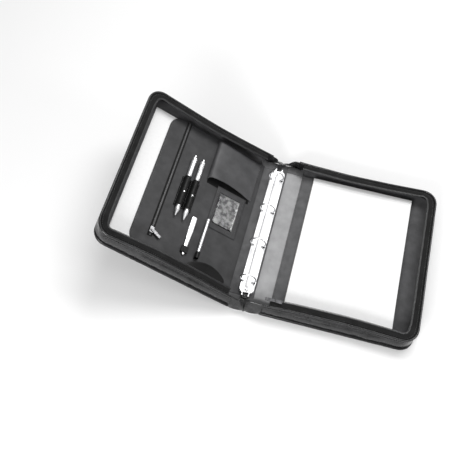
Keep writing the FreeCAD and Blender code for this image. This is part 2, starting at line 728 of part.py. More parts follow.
def make_tools():
    """A letter opener and a pencil, each in a short sleeve."""
    opener_x = "-opener_middle"
    pencil_x = "-pencil_middle"
    along = ("-loop_near", "-loop_far")
    past = ("-loop_near - 6", "-loop_far + 6")
    opener_low = f"{PANEL_TOP} + 1.4"
    plate("letter_opener", "front", between(opener_x, "opener_width"), ("-opener_near", "-opener_far"),
          (opener_low, f"{opener_low} + opener_sheet"), 0, "2.5")
    opener_loop = doc.addObject("Part::Cut", "loop")
    opener_loop.Base = box(between(opener_x, "opener_width + 3.4"), along,
                           (PANEL_TOP, f"{PANEL_TOP} + 4.8"))
    opener_loop.Tool = box(between(opener_x, "opener_width + 0.4"), past,
                           (f"{opener_low} - 0.2", f"{opener_low} + opener_sheet + 0.2"))
    tube = rod(pencil_x, along, "pencil_level", "pencil_radius + pen_clearance + 1", "y")
    foot = box(between(pencil_x, "2 * pencil_radius + 1"), along, (PANEL_TOP, "pencil_level"))
    pencil_loop = doc.addObject("Part::Cut", "loop")
    pencil_loop.Base = fused([tube, foot])
    pencil_loop.Tool = rod(pencil_x, past, "pencil_level", "pencil_radius + pen_clearance", "y")
    group("tool_loops", "front", [opener_loop, pencil_loop])
    shaft = rod(pencil_x, ("-pencil_near", "-pencil_far"), "pencil_level", "pencil_radius", "y")
    point = point_at(pencil_x, "-pencil_near", "pencil_level", "pencil_radius", "0.6", "pencil_point")
    join("pencil", "front", [shaft, point])


def check_document():
    """Stop if any object failed or any sub-part isn't a sound solid."""
    doc.recompute()
    for thing in doc.Objects:
        if "Invalid" in thing.State or "Error" in thing.State:
            raise ValueError(f"{thing.Name} ({thing.Label}) failed: {thing.State}")
    for thing in sub_parts:
        if thing.Shape.isNull() or not thing.Shape.isValid() or not thing.Shape.Solids:
            raise ValueError(f"{thing.Label} isn't a valid solid")


make_rear_cover()
make_main_zip_pull()
make_pad()
make_ring_plate(make_spine())
make_ring_half("ring_half_left", -1)
make_ring_half("ring_half_right", 1)
make_levers()
make_handle()
make_front_cover()
make_organiser()
check_document()

os.makedirs("parts", exist_ok=True)
for thing in sub_parts:
    thing.Shape.exportStep(f"parts/{thing.Label}.step")
    volume = thing.Shape.Volume / 1000
    print(f"{thing.Label}: {len(thing.Shape.Solids)} solids, {volume:.1f} cm3")
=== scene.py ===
import itertools
import json
import math
import random

import bmesh
import bpy
import numpy as np
from mathutils import Matrix, Vector, noise


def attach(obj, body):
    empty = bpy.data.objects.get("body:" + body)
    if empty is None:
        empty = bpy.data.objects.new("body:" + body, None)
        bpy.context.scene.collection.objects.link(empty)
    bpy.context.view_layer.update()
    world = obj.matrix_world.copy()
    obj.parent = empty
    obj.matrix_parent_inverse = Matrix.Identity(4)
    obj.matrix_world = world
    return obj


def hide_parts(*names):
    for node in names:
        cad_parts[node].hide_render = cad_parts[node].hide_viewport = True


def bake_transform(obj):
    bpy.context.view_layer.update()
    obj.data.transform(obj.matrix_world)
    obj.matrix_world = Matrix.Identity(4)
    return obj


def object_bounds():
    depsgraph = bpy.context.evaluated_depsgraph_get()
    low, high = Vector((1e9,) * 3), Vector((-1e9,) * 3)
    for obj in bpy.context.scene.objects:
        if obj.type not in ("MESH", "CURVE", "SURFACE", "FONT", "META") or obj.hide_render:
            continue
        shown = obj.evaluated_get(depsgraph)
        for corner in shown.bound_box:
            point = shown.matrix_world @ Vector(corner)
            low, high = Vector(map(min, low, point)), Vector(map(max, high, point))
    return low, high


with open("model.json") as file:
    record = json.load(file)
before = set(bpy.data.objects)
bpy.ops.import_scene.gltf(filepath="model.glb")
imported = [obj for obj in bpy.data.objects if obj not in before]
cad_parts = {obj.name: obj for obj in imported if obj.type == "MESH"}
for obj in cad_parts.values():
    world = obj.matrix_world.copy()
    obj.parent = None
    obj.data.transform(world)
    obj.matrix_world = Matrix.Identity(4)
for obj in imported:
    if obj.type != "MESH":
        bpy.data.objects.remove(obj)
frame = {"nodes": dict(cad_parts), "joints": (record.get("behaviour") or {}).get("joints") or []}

cad_low, cad_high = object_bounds()

MM = 0.001

# ---------------------------------------------------------------- the frame

JOINTS = {joint["name"]: joint for joint in frame["joints"]}
REAR_FOLD = np.array(JOINTS["rear_fold"]["pos_m"])
FRONT_FOLD = np.array(JOINTS["front_fold"]["pos_m"])
FRONT_NORMAL = np.array(JOINTS["pocket_puller_turn"]["axis"])
HINGE = REAR_FOLD[2]
SPINE_MIDDLE = (REAR_FOLD + FRONT_FOLD) / 2
ALONG = np.array((0.0, 1.0, 0.0))
ENDS = (("far", 1), ("near", -1))


class Place:
    """A flat frame: u away from the fold (or across the spine), y along the spine, w above the outer face."""

    def __init__(self, body, base, away, normal):
        self.body = body
        self.base = np.array(base, float)
        self.away = np.array(away, float)
        self.normal = np.array(normal, float)

    def out(self, points):
        """Points (u, y, w) of this frame, in the row frame."""
        p = np.asarray(points, float).reshape(-1, 3)
        return self.base + p[:, :1] * self.away + p[:, 1:2] * ALONG + (p[:, 2:] - HINGE) * self.normal

    def outward(self, out_u, out_y):
        """A direction of this frame, in the row frame."""
        return out_u * self.away + out_y * ALONG

    def span(self, *nodes):
        """The lowest and highest (u, y, w) of CAD nodes."""
        found = np.vstack([np.array([v.co for v in frame["nodes"][n].data.vertices]) for n in nodes])
        q = found - self.base
        local = np.column_stack((q @ self.away, found[:, 1], q @ self.normal + HINGE))
        return local.min(0), local.max(0)


REAR = Place("rear_cover", REAR_FOLD, (1, 0, 0), (0, 0, 1))
FRONT = Place("front_cover", FRONT_FOLD, (-FRONT_NORMAL[2], 0, FRONT_NORMAL[0]), FRONT_NORMAL)
SPINE = Place("spine", SPINE_MIDDLE, (1, 0, 0), (0, 0, 1))

wall_high = REAR.span("rear_tray_wall")[1]
WIDTH = wall_high[0]
HALF = wall_high[1]
RIM = wall_high[2]
FLOOR = REAR.span("rear_lining")[1][2]
PANEL_TOP = FRONT.span("organiser_panel")[1][2]
CORNER = 26 * MM
WALL = 3 * MM
WALL_START = 5.5 * MM     # clear of the spine when a cover stands upright
TAPE = 12 * MM
TAPE_LEVEL = REAR.span("rear_zip_tape")[1][2]
SIDE_SHARE = (WIDTH - CORNER) / (2 * (WIDTH - CORNER) + math.pi * CORNER + 2 * (HALF - CORNER))

# ---------------------------------------------------------------- materials


def new_material(name, colour, roughness, metallic=0.0, **sockets):
    material = bpy.data.materials.new(name)
    material.use_nodes = True
    shader = material.node_tree.nodes["Principled BSDF"]
    shader.inputs["Base Color"].default_value = (*colour, 1)
    shader.inputs["Roughness"].default_value = roughness
    shader.inputs["Metallic"].default_value = metallic
    for socket, value in sockets.items():
        shader.inputs[socket.replace("_", " ")].default_value = value
    return material


class Nodes:
    """Short calls for building a material's node tree on object coordinates."""

    def __init__(self, material):
        self.tree = material.node_tree
        self.shader = self.tree.nodes["Principled BSDF"]
        self.place = self.add("ShaderNodeTexCoord").outputs["Object"]

    def add(self, kind, **values):
        node = self.tree.nodes.new(kind)
        for field, value in values.items():
            setattr(node, field, value)
        return node

    def link(self, source, target):
        self.tree.links.new(source, target)

    def noise(self, scale, detail=4, stretch=None):
        texture = self.add("ShaderNodeTexNoise")
        texture.inputs["Scale"].default_value = scale
        texture.inputs["Detail"].default_value = detail
        self.link(self.stretched(stretch), texture.inputs["Vector"])
        return texture.outputs["Fac"]

    def stretched(self, stretch):
        if stretch is None:
            return self.place
        mapping = self.add("ShaderNodeMapping")
        mapping.inputs["Scale"].default_value = stretch
        self.link(self.place, mapping.inputs["Vector"])
        return mapping.outputs["Vector"]

    def cells(self, scale):
        texture = self.add("ShaderNodeTexVoronoi", feature="DISTANCE_TO_EDGE")
        texture.inputs["Scale"].default_value = scale
        self.link(self.place, texture.inputs["Vector"])
        return texture.outputs["Distance"]

    def wave(self, scale, direction, distortion=0.0):
        texture = self.add("ShaderNodeTexWave", bands_direction=direction)
        texture.inputs["Scale"].default_value = scale
        texture.inputs["Distortion"].default_value = distortion
        self.link(self.place, texture.inputs["Vector"])
        return texture.outputs["Fac"]

    def ramp(self, source, low, high, start=0.0, end=1.0):
        """Map a value from start..end to low..high."""
        node = self.add("ShaderNodeMapRange")
        node.inputs["From Min"].default_value = start
        node.inputs["From Max"].default_value = end
        node.inputs["To Min"].default_value = low
        node.inputs["To Max"].default_value = high
        self.link(source, node.inputs["Value"])
        return node.outputs["Result"]

    def blend_colours(self, source, first, second, start=0.3, end=0.7):
        ramp = self.add("ShaderNodeValToRGB")
        ramp.color_ramp.elements[0].position = start
        ramp.color_ramp.elements[0].color = (*first, 1)
        ramp.color_ramp.elements[1].position = end
        ramp.color_ramp.elements[1].color = (*second, 1)
        self.link(source, ramp.inputs["Fac"])
        return ramp.outputs["Color"]

    def bump(self, height, strength, distance, under=None):
        node = self.add("ShaderNodeBump")
        node.inputs["Strength"].default_value = strength
        node.inputs["Distance"].default_value = distance
        self.link(height, node.inputs["Height"])
        if under is not None:
            self.link(under, node.inputs["Normal"])
        return node.outputs["Normal"]

    def colour(self, source):
        self.link(source, self.shader.inputs["Base Color"])

    def rough(self, source):
        self.link(source, self.shader.inputs["Roughness"])

    def normal(self, source):
        self.link(source, self.shader.inputs["Normal"])


def leather(name, dark, light, roughness, grain, coat=0.0, shine=0.4):
    """Grained leather: fine cells, soft creases, colour and polish that vary over the hide."""
    material = new_material(name, dark, roughness, Coat_Weight=coat, Coat_Roughness=0.2,
                            Specular_IOR_Level=shine)
    n = Nodes(material)
    n.colour(n.blend_colours(n.noise(38, 5), dark, light))
    n.rough(n.ramp(n.noise(90, 4), roughness - 0.07, roughness + 0.09, 0.3, 0.7))
    creases = n.bump(n.noise(150, 3), 0.35, 0.5 * MM)
    n.normal(n.bump(n.cells(grain), 0.6, 0.22 * MM, creases))
    return material


def cloth(name, dark, light, thread, roughness=0.9, sheen=0.4):
    """A woven or napped cloth: crossed threads with uneven dye and a little sheen."""
    material = new_material(name, dark, roughness, Sheen_Weight=sheen, Sheen_Roughness=0.5,
                            Specular_IOR_Level=0.2)
    n = Nodes(material)
    n.colour(n.blend_colours(n.noise(60, 6), dark, light))
    nap = n.bump(n.noise(700, 4), 0.6, 0.25 * MM)
    weft = n.bump(n.wave(thread, "X", 1.5), 0.35, 0.15 * MM, nap)
    n.normal(n.bump(n.wave(thread, "Y", 1.5), 0.35, 0.15 * MM, weft))
    return material


def bright_metal(name, colour, roughness, brush=None):
    """Plated metal with faint polishing lines and handling marks."""
    material = new_material(name, colour, roughness, 1.0)
    n = Nodes(material)
    n.rough(n.ramp(n.noise(220, 5, brush), roughness * 0.7, roughness * 1.5, 0.3, 0.7))
    n.normal(n.bump(n.noise(900, 3, brush), 0.12, 0.05 * MM))
    return material


def moulded(name, colour, roughness):
    """Plastic with a fine moulded texture."""
    material = new_material(name, colour, roughness)
    n = Nodes(material)
    n.rough(n.ramp(n.noise(300, 4), roughness - 0.08, roughness + 0.12, 0.3, 0.7))
    n.normal(n.bump(n.noise(1200, 2), 0.15, 0.05 * MM))
    return material


def paper(name, tone):
    """Uncoated paper: faint fibre, slightly uneven whiteness."""
    material = new_material(name, tone, 0.75)
    n = Nodes(material)
    shade = tuple(0.965 * c for c in tone)
    n.colour(n.blend_colours(n.noise(180, 6), shade, tone, 0.25, 0.6))
    n.normal(n.bump(n.noise(2500, 3), 0.2, 0.03 * MM))
    return material


def printed_card(name):
    """A laminated card behind a clear window: a generic mottled print."""
    material = new_material(name, (0.3, 0.3, 0.3), 0.22, Coat_Weight=0.5, Coat_Roughness=0.1)
    n = Nodes(material)
    n.colour(n.blend_colours(n.noise(120, 3), (0.13, 0.13, 0.135), (0.5, 0.5, 0.5), 0.38, 0.62))
    n.normal(n.bump(n.noise(60, 2), 0.15, 0.3 * MM))
    return material


LEATHER = leather("black_leather", (0.005, 0.005, 0.0055), (0.011, 0.011, 0.0115), 0.32, 850, 0.25, 0.2)
GUSSET = leather("gusset_leather", (0.007, 0.007, 0.0075), (0.022, 0.022, 0.023), 0.27, 950, 0.5, 0.25)
PANEL = leather("panel_leather", (0.032, 0.032, 0.033), (0.05, 0.05, 0.052), 0.55, 1100, 0.0, 0.3)
POCKET = leather("pocket_leather", (0.045, 0.045, 0.047), (0.075, 0.075, 0.078), 0.5, 1100)
DARK_LINING = cloth("dark_lining", (0.055, 0.055, 0.057), (0.085, 0.085, 0.088), 900)
STRIP_LINING = cloth("strip_lining", (0.075, 0.075, 0.077), (0.115, 0.115, 0.118), 900)
# painted light: a lighter grey copy of the lining cloth for the rear fold's lining, where it slopes up and
# catches the lamps
PAINTED_LIT_LINING = cloth("light_lining", (0.3, 0.3, 0.305), (0.37, 0.37, 0.375), 900)
# painted shade: an almost black cloth laid inside the phone pocket and just before its mouth, standing for
# the shade there
PAINTED_SHADE_LINING = cloth("painted_shade_lining", (0.004, 0.004, 0.004), (0.009, 0.009, 0.009), 900, 0.95, 0.0)
TAPE_CLOTH = cloth("tape_cloth", (0.006, 0.006, 0.006), (0.014, 0.014, 0.014), 1400, 0.85, 0.05)
TEETH_PLASTIC = moulded("teeth_plastic", (0.014, 0.014, 0.015), 0.4)
POCKET_TEETH = moulded("pocket_teeth", (0.09, 0.09, 0.092), 0.3)
BLACK_METAL = bright_metal("black_metal", (0.05, 0.05, 0.052), 0.3)
THREAD = cloth("thread", (0.02, 0.02, 0.021), (0.04, 0.04, 0.041), 2500, 0.6, 0.5)
PLATE_STEEL = bright_metal("plate_steel", (0.74, 0.74, 0.75), 0.46, (1, 0.05, 1))
RING_STEEL = bright_metal("ring_steel", (0.85, 0.85, 0.86), 0.2)
PULL_METAL = bright_metal("pull_metal", (0.24, 0.24, 0.245), 0.3)
PEN_METAL = bright_metal("pen_metal", (0.86, 0.86, 0.87), 0.4, (1, 0.1, 1))
BLACK_PLASTIC = moulded("black_plastic", (0.012, 0.012, 0.013), 0.3)
PAPER = paper("pad_paper", (0.9, 0.9, 0.9))
SHEET_PAPER = paper("sheet_paper", (0.86, 0.86, 0.86))
PEN_TRIM = bright_metal("pen_trim", (0.75, 0.75, 0.76), 0.12)
SLEEVE = leather("sleeve_leather", (0.004, 0.004, 0.004), (0.009, 0.009, 0.009), 0.42, 1100, 0.0, 0.2)
CARD_BACK = paper("card_back", (0.42, 0.41, 0.39))
CARD = printed_card("card_print")
WINDOW = new_material("clear_window", (0.9, 0.9, 0.9), 0.08, Transmission_Weight=1.0, IOR=1.2)

# ---------------------------------------------------------------- mesh helpers


def add_piece(name, points, faces, material, body, slot=None, stands_for=(), smooth=True):
    """A mesh piece from points in the row frame. It rides on a body and may stand for CAD nodes."""
    mesh = bpy.data.meshes.new(name)
    mesh.from_pydata([tuple(p) for p in points], [], faces)
    work = bmesh.new()
    work.from_mesh(mesh)
    bmesh.ops.remove_doubles(work, verts=work.verts, dist=1e-7)
    bmesh.ops.recalc_face_normals(work, faces=work.faces)
    work.to_mesh(mesh)
    work.free()
    mesh.polygons.foreach_set("use_smooth", [smooth] * len(mesh.polygons))
    mesh.materials.append(material)
    piece = bpy.data.objects.new(name, mesh)
    bpy.context.collection.objects.link(piece)
    if body is not None:
        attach(piece, body)
    if stands_for:
        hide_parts(*stands_for)
    return piece


def wobble(x, y, size, seed):
    """Smooth noise between about -1 and 1 that changes over the given size."""
    return noise.noise(Vector((x / size, y / size, seed)))


def spaced(low, high, edge, step):
    """Grid lines from low to high, close together by each end and about a step apart between."""
    near = [edge * f for f in (0, 0.08, 0.3, 0.62, 1.0)]
    count = max(1, round((high - low - 2 * edge) / step))
    middle = list(np.linspace(low + edge, high - edge, count + 1))
    return [low + n for n in near[:-1]] + middle + [high - n for n in reversed(near[:-1])]


def round_off(u, y, low, high, radius, sides):
    """Move a point of a rectangle so that the chosen sides' corners become round."""
    for side in sides:
        centre_u = high[0] - radius if side > 0 else low[0] + radius
        a = (u - centre_u) * side
        for end in (-1, 1):
            centre_y = (high[1] - radius) if end > 0 else (low[1] + radius)
            b = (y - centre_y) * end
            if a > 0 and b > 0:
                pull = max(a, b) / math.hypot(a, b)
                return centre_u + side * a * pull, centre_y + end * b * pull
    return u, y


def edge_distance(u, y, low, high, radius, sides):
    """How far inside the rounded outline a point lies."""
    inside = min(u - low[0], high[0] - u, y - low[1], high[1] - y)
    for side in sides:
        centre_u = high[0] - radius if side > 0 else low[0] + radius
        a = (u - centre_u) * side
        for end in (-1, 1):
            centre_y = (high[1] - radius) if end > 0 else (low[1] + radius)
            b = (y - centre_y) * end
            if a > 0 and b > 0:
                inside = min(inside, radius - math.hypot(a, b))
    return max(inside, 0.0)


def outline_of(rows, columns):
    """The points round the edge of a grid, in order."""
    border = [i * columns for i in range(rows)]
    border += [(rows - 1) * columns + j for j in range(1, columns)]
    border += [i * columns + columns - 1 for i in range(rows - 2, -1, -1)]
    return border + list(range(columns - 2, 0, -1))


def rim_faces(rows, columns, base=0):
    """Faces that join the edges of two grids of points, one after the other."""
    count = rows * columns
    border = outline_of(rows, columns)
    return [(base + a, base + count + a, base + count + b, base + b)
            for a, b in zip(border, border[1:] + border[:1])]


def grid_faces(rows, columns, base=0):
    corners = [base + i * columns + j for i in range(rows - 1) for j in range(columns - 1)]
    return [(a, a + columns, a + columns + 1, a + 1) for a in corners]


def sheet_faces(rows, columns):
    """Faces of a sheet with a thickness: two grids of points joined round their edges."""
    return grid_faces(rows, columns) + grid_faces(rows, columns, rows * columns) + rim_faces(rows, columns)


def tube_faces(rings, size, base=0):
    """Faces through rings of points in a row, with a cap at each end."""
    faces = []
    for k in range(rings - 1):
        for i in range(size):
            a = base + k * size + i
            b = base + k * size + (i + 1) % size
            faces.append((a, b, b + size, a + size))
    last = base + rings * size - 1
    faces.append(tuple(range(base, base + size)))
    faces.append(tuple(range(last, last - size, -1)))
    return faces


def squarish(angle, width, height, roundness):
    """A point of a rounded rectangle: (x, z) at an angle, with a power below 1 for squarer sides."""
    c, d = math.cos(angle), math.sin(angle)
    return (width * math.copysign(abs(c) ** roundness[0], c),
            height * math.copysign(abs(d) ** roundness[1], d))


def around(count):
    """Angles once round a circle."""
    return np.linspace(0, 2 * math.pi, count + 1)[:-1]


def rolled(distance, roll):
    """How far a surface drops beside a rounded edge."""
    if roll <= 0 or distance >= roll:
        return 0.0
    return roll - math.sqrt(max(roll ** 2 - (roll - distance) ** 2, 0))


def panel(name, place, low, high, material, radius=0.0, sides=(), roll=1 * MM, under=0.0, crown=0.0,
          ripple=0.0, ripple_size=40 * MM, seed=0.0, step=6 * MM, shape=None, body=None, **more):
    """A soft flat piece: rounded outline, rolled edges, a crown in the middle and slow ripples.

    shape(u, y, w, top) can move each point further.
    """
    lines_u = spaced(low[0], high[0], roll, step)
    lines_y = spaced(low[1], high[1], roll, step)
    grids = []
    reach = min(high[0] - low[0], high[1] - low[1]) / 2
    for top in (True, False):
        points = []
        for raw_u in lines_u:
            for raw_y in lines_y:
                u, y = round_off(raw_u, raw_y, low, high, radius, sides)
                inside = edge_distance(u, y, low, high, radius, sides)
                rise = math.sin(min(inside / reach, 1) * math.pi / 2)
                fade = min(inside / (4 * MM), 1)
                wave = ripple * wobble(u, y, ripple_size, seed) * fade
                if top:
                    w = high[2] - rolled(inside, roll) + crown * rise + wave
                else:
                    w = low[2] + rolled(inside, under)
                if shape:
                    u, y, w = shape(u, y, w, top)
                points.append((u, y, w))
        grids.append(points)
    faces = sheet_faces(len(lines_u), len(lines_y))
    return add_piece(name, place.out(grids[0] + grids[1]), faces, material, body or place.body, **more)


def swept(name, sections, material, body, **more):
    """A tube through sections, each a closed ring with the same number of points, in the row frame."""
    points = [p for ring in sections for p in ring]
    return add_piece(name, points, tube_faces(len(sections), len(sections[0])), material, body, **more)


def rim_path(inset, start, step=3 * MM):
    """Points (u, y, outward u, outward y, share of the way) round a cover's three free sides."""
    radius = CORNER - inset
    across = WIDTH - inset
    half = HALF - inset
    side = across - radius - start
    arc = radius * math.pi / 2
    long = 2 * (half - radius)
    total = 2 * side + 2 * arc + long
    count = round(total / step)
    points = []
    for k in range(count + 1):
        s = total * k / count
        share = k / count
        if s <= side:
            points.append((start + s, -half, 0, -1, share))
        elif s <= side + arc:
            a = (s - side) / radius
            points.append((across - radius + radius * math.sin(a), -half + radius - radius * math.cos(a),
                           math.sin(a), -math.cos(a), share))
        elif s <= side + arc + long:
            points.append((across, -half + radius + (s - side - arc), 1, 0, share))
        elif s <= side + 2 * arc + long:
            a = (s - side - arc - long) / radius
            points.append((across - radius + radius * math.cos(a), half - radius + radius * math.sin(a),
                           math.cos(a), math.sin(a), share))
        else:
            points.append((start + total - s, half, 0, 1, share))
    return points


THREAD_SIDES = 6
# rings of one stitch: place along it, thickness and height above the leather, as shares
STITCH = ((-0.5, 0.3, -0.5), (-0.34, 0.95, 0.05), (0.0, 1.0, 0.25), (0.34, 0.95, 0.05), (0.5, 0.3, -0.5))


def capsule(centre, along, normal, length, radius):
    """One stitch: a six-sided thread that dips at both ends. Returns points and faces."""
    across = np.cross(along, normal)
    points = []
    for reach, size, sink in STITCH:
        middle = centre + along * (reach * length) + normal * (sink * radius)
        for a in around(THREAD_SIDES):
            points.append(middle + size * radius * (math.cos(a) * across + math.sin(a) * normal))
    return points, tube_faces(len(STITCH), THREAD_SIDES)


def sewn(name, runs, body, length=2.8 * MM, gap=1.3 * MM, radius=0.32 * MM, slot="black_leather"):
    """Stitching along runs: each run is (points in the row frame, one normal or a normal per point)."""
    points, faces = [], []
    for path, normals in runs:
        path = np.asarray(path, float)
        normals = np.asarray(normals, float)
        if normals.ndim == 1:
            normals = np.repeat(normals[None, :], len(path), 0)
        steps = np.linalg.norm(np.diff(path, axis=0), axis=1)
        travelled = np.concatenate(([0], np.cumsum(steps)))
        count = max(1, int(travelled[-1] / (length + gap)))
        for k in range(count):
            s = travelled[-1] * (k + 0.5) / count
            i = min(int(np.searchsorted(travelled, s, side="right")) - 1, len(steps) - 1)
            share = (s - travelled[i]) / steps[i]
            centre = path[i] * (1 - share) + path[i + 1] * share
            along = (path[i + 1] - path[i]) / steps[i]
            normal = normals[i] - along * (normals[i] @ along)
            normal /= np.linalg.norm(normal)
            stitch, sides = capsule(centre, along, normal, length, radius)
            faces += [tuple(len(points) + v for v in f) for f in sides]
            points += stitch
    return add_piece(name, points, faces, THREAD, body, slot=slot)


def line(place, corners, step=4 * MM):
    """A polyline in a place's flat frame as close points in the row frame."""
    points = []
    for a, b in zip(corners, corners[1:]):
        a, b = np.array(a, float), np.array(b, float)
        count = max(1, round(np.linalg.norm(b - a) / step))
        points += [a + (b - a) * k / count for k in range(count)]
    return place.out(points + [np.array(corners[-1], float)])


def sew_on(runs, name):
    """Stitching on the front tray's leather, along runs of (u, y, w)."""
    sewn(name, [(line(FRONT, run), FRONT.normal) for run in runs], "front_cover", slot="panel_leather")


def dress(material, *nodes):
    """Give CAD nodes that stay a finished material."""
    for node in nodes:
        piece = frame["nodes"][node]
        piece.data.materials.clear()
        piece.data.materials.append(material)


# ---------------------------------------------------------------- covers, walls and zip

SIDE_OUT = 4 * MM         # the padded cover's long edges stand proud of the wall
FREE_OUT = 0.4 * MM       # so does its free edge, by less
COVER_PAD = 7.4 * MM


def lean(place, share):
    """How far a tray's rim leans in, and how far it sags, along the way round.

    The two long walls lean in most in their middles; the wall at the free edge leans out a little.
    """
    seed = 3.0 if place is REAR else 8.0
    along_side = min(share, 1 - share) / SIDE_SHARE
    if along_side < 1:
        slack = 0.6 + 0.4 * math.sin(math.pi * along_side)
    else:
        slack = 0.6 * max(0, 1 - (along_side - 1) * 6)
    inward = (9.6 * slack - 4.2) * MM + (0.4 + 0.8 * slack) * MM * wobble(share, 0, 0.09, seed)
    drop = (1.2 * slack + 0.3) * MM + 1.0 * MM * wobble(share, 0, 0.12, seed + 5)
    return inward, drop


def make_cover_shell(place, node, name):
    """A padded cover: one leather cushion with a rolled edge on the three free sides."""
    low, high = place.span(node)
    low = (low[0], -HALF - SIDE_OUT, 0)
    high = (WIDTH + FREE_OUT, HALF + SIDE_OUT, COVER_PAD)

    def flatten_fold(u, y, w, top):
        near = min((u - low[0]) / (14 * MM), 1)
        return u, y, w if top else w + (1 - near) ** 2 * 0.6 * MM

    shell = panel(name, place, low, high, LEATHER, CORNER + FREE_OUT, (1,), 3.6 * MM, 3.6 * MM,
                  ripple=0.25 * MM, shape=flatten_fold, slot="black_leather", stands_for=(node,))


def wall_section(place, share, u, y, out_u, out_y):
    """The closed outline of the tray wall at one point of the way round."""
    inward, drop = lean(place, share)
    seed = 20.0 if place is REAR else 31.0
    slack = 1 - abs(out_u)
    bulge = (2.8 * slack - 0.4) * MM + (0.4 + 1.6 * slack) * MM * wobble(share, 0, 0.035, seed)
    fold = 1.3 * MM * wobble(share, 0, 0.012, seed + 3)
    rim = RIM - drop
    profile = [
        (0.6 * MM, 5.5 * MM),
        (0.9 * MM + fold * 0.3, 9 * MM),
        (bulge * 0.9 + fold, 14 * MM),
        (bulge + fold * 0.8, 19 * MM),
        (bulge * 0.4 - fold * 0.5 - inward * 0.5, 24 * MM),
        (-inward * 0.8 - 0.4 * MM, rim - 6.5 * MM),
        (-inward + 0.5 * MM, rim - 5.4 * MM),
        (-inward + 1.0 * MM, rim - 3.4 * MM),
        (-inward + 0.6 * MM, rim - 1.4 * MM),
        (-inward - 0.7 * MM, rim - 0.2 * MM),
        (-inward - 2.0 * MM, rim - 0.6 * MM),
        (-inward - 2.9 * MM, rim - 1.9 * MM),
        (-inward - 3.0 * MM, rim - 4.0 * MM),
        (-inward * 0.6 - 2.6 * MM, 24 * MM),
        (-2.4 * MM, 15 * MM),
        (-2.4 * MM, 5.5 * MM),
    ]
    return place.out([(u + o * out_u, y + o * out_y, w) for o, w in profile])


def make_wall(place, node, name):
    """The soft leather wall round a tray, with shallow folds and a piped rim."""
    path = rim_path(0, WALL_START)
    sections = [wall_section(place, share, u, y, ou, oy) for u, y, ou, oy, share in path]
    swept(name, sections, GUSSET, place.body, slot="black_leather", stands_for=(node,))
    seam = []
    for u, y, ou, oy, share in path:
        inward, drop = lean(place, share)
        on_wall = place.out([(u + 0.2 * MM * ou, y + 0.2 * MM * oy, RIM - drop - 7.4 * MM)])[0]
        seam.append(on_wall - inward * 0.7 * place.outward(ou, oy))
    outward = [place.outward(ou, oy) for _, _, ou, oy, _ in path]
    sewn(name + "_seam", [(seam, outward)], place.body)


def tape_height(place, share, inset):
    """The zip tape's level: it hangs from the rim and lifts a little towards the teeth."""
    drop = lean(place, share)[1]
    return TAPE_LEVEL - drop * 0.6 + 0.8 * MM * (inset / TAPE) ** 2 - 0.5 * MM


# blocks across one tooth: place across the tape, half length and half height, in millimetres
TOOTH = ((-2.0, 0.75, 0.85), (-1.5, 0.8, 1.15), (0.6, 0.62, 1.15), (1.5, 0.95, 1.05), (2.0, 0.7, 0.6))
SQUARE = ((-1, -1), (1, -1), (1, 1), (-1, 1))
TAPE_INSET = WALL - 0.6 * MM


def make_zip_tape(place, node, name, start):
    """Half a zip's woven tape, a little puckered, with a corded edge."""
    sections = []
    for u, y, ou, oy, share in rim_path(TAPE_INSET, start):
        inward = lean(place, share)[0]
        top = []
        bottom = []
        for f in (0.0, 0.2, 0.45, 0.7, 0.9, 1.0, 1.08):
            inset = f * TAPE
            pucker = 0.35 * MM * wobble(share, f, 0.006, 4.0) * (1 - abs(2 * f - 1))
            w = tape_height(place, share, inset) + pucker
            thick = 0.45 * MM if f < 0.95 else 0.8 * MM
            back = inset + inward
            top.append((u - back * ou, y - back * oy, w + thick))
            bottom.append((u - back * ou, y - back * oy, w - thick))
        sections.append(place.out(top + bottom[::-1]))
    swept(name, sections, TAPE_CLOTH, place.body, slot="zip_tape", stands_for=(node,))


def make_zip_teeth(place, node, name, start):
    """Separate moulded teeth along the tape's corded edge."""
    points, faces = [], []
    pitch = 2.5 * MM
    for u, y, ou, oy, share in rim_path(TAPE_INSET + TAPE + 1.2 * MM, start, pitch):
        inward = lean(place, share)[0]
        w = tape_height(place, share, TAPE) + 0.1 * MM
        centre = place.out([(u - inward * ou, y - inward * oy, w)])[0]
        out = place.outward(ou, oy)
        along = np.cross(out, place.normal)
        faces += tube_faces(len(TOOTH), len(SQUARE), len(points))
        for reach, half_along, half_up in TOOTH:
            middle = centre - out * (reach * MM)
            for a, b in SQUARE:
                points.append(middle + along * (a * half_along * MM) + place.normal * (b * half_up * MM))
    add_piece(name, points, faces, TEETH_PLASTIC, place.body, slot="zip_coil", stands_for=(node,),
              smooth=False)


def make_zip_half(place, node_tape, node_teeth, name):
    """Half a zip: the tape, the teeth and the stitches that hold the tape to the wall."""
    start = REAR.span("rear_zip_tape")[0][0]
    make_zip_tape(place, node_tape, name + "_tape", start)
    make_zip_teeth(place, node_teeth, name + "_teeth", start)
    tape_seam = []
    for u, y, ou, oy, share in rim_path(WALL, start):
        back = lean(place, share)[0] + 2.6 * MM
        tape_seam.append((u - back * ou, y - back * oy, tape_height(place, share, 3 * MM) + 0.5 * MM))
    sewn(name + "_tape_seam", [(place.out(tape_seam), place.normal)], place.body, slot="zip_tape")


def make_lining(place, node, name):
    """The tray's floor lining: soft cloth that rises slightly where it is sewn to the wall."""
    low, high = place.span(node)

    def tuck(u, y, w, top):
        from_fold = min((u - low[0]) / (12 * MM), 1)
        inside = edge_distance(u, y, (low[0] - 1, low[1]), high, CORNER - WALL, (1,))
        rise = max(0, 1 - inside / (7 * MM)) ** 2 * from_fold
        return u, y, w + (2.2 * MM * rise - 0.7 * MM * (1 - from_fold) if top else 0)

    lining = panel(name, place, low, high, DARK_LINING, CORNER - WALL, (1,), 0.4 * MM, ripple=0.35 * MM,
                   ripple_size=30 * MM, seed=2.0, shape=tuck, slot="dark_lining", stands_for=(node,))


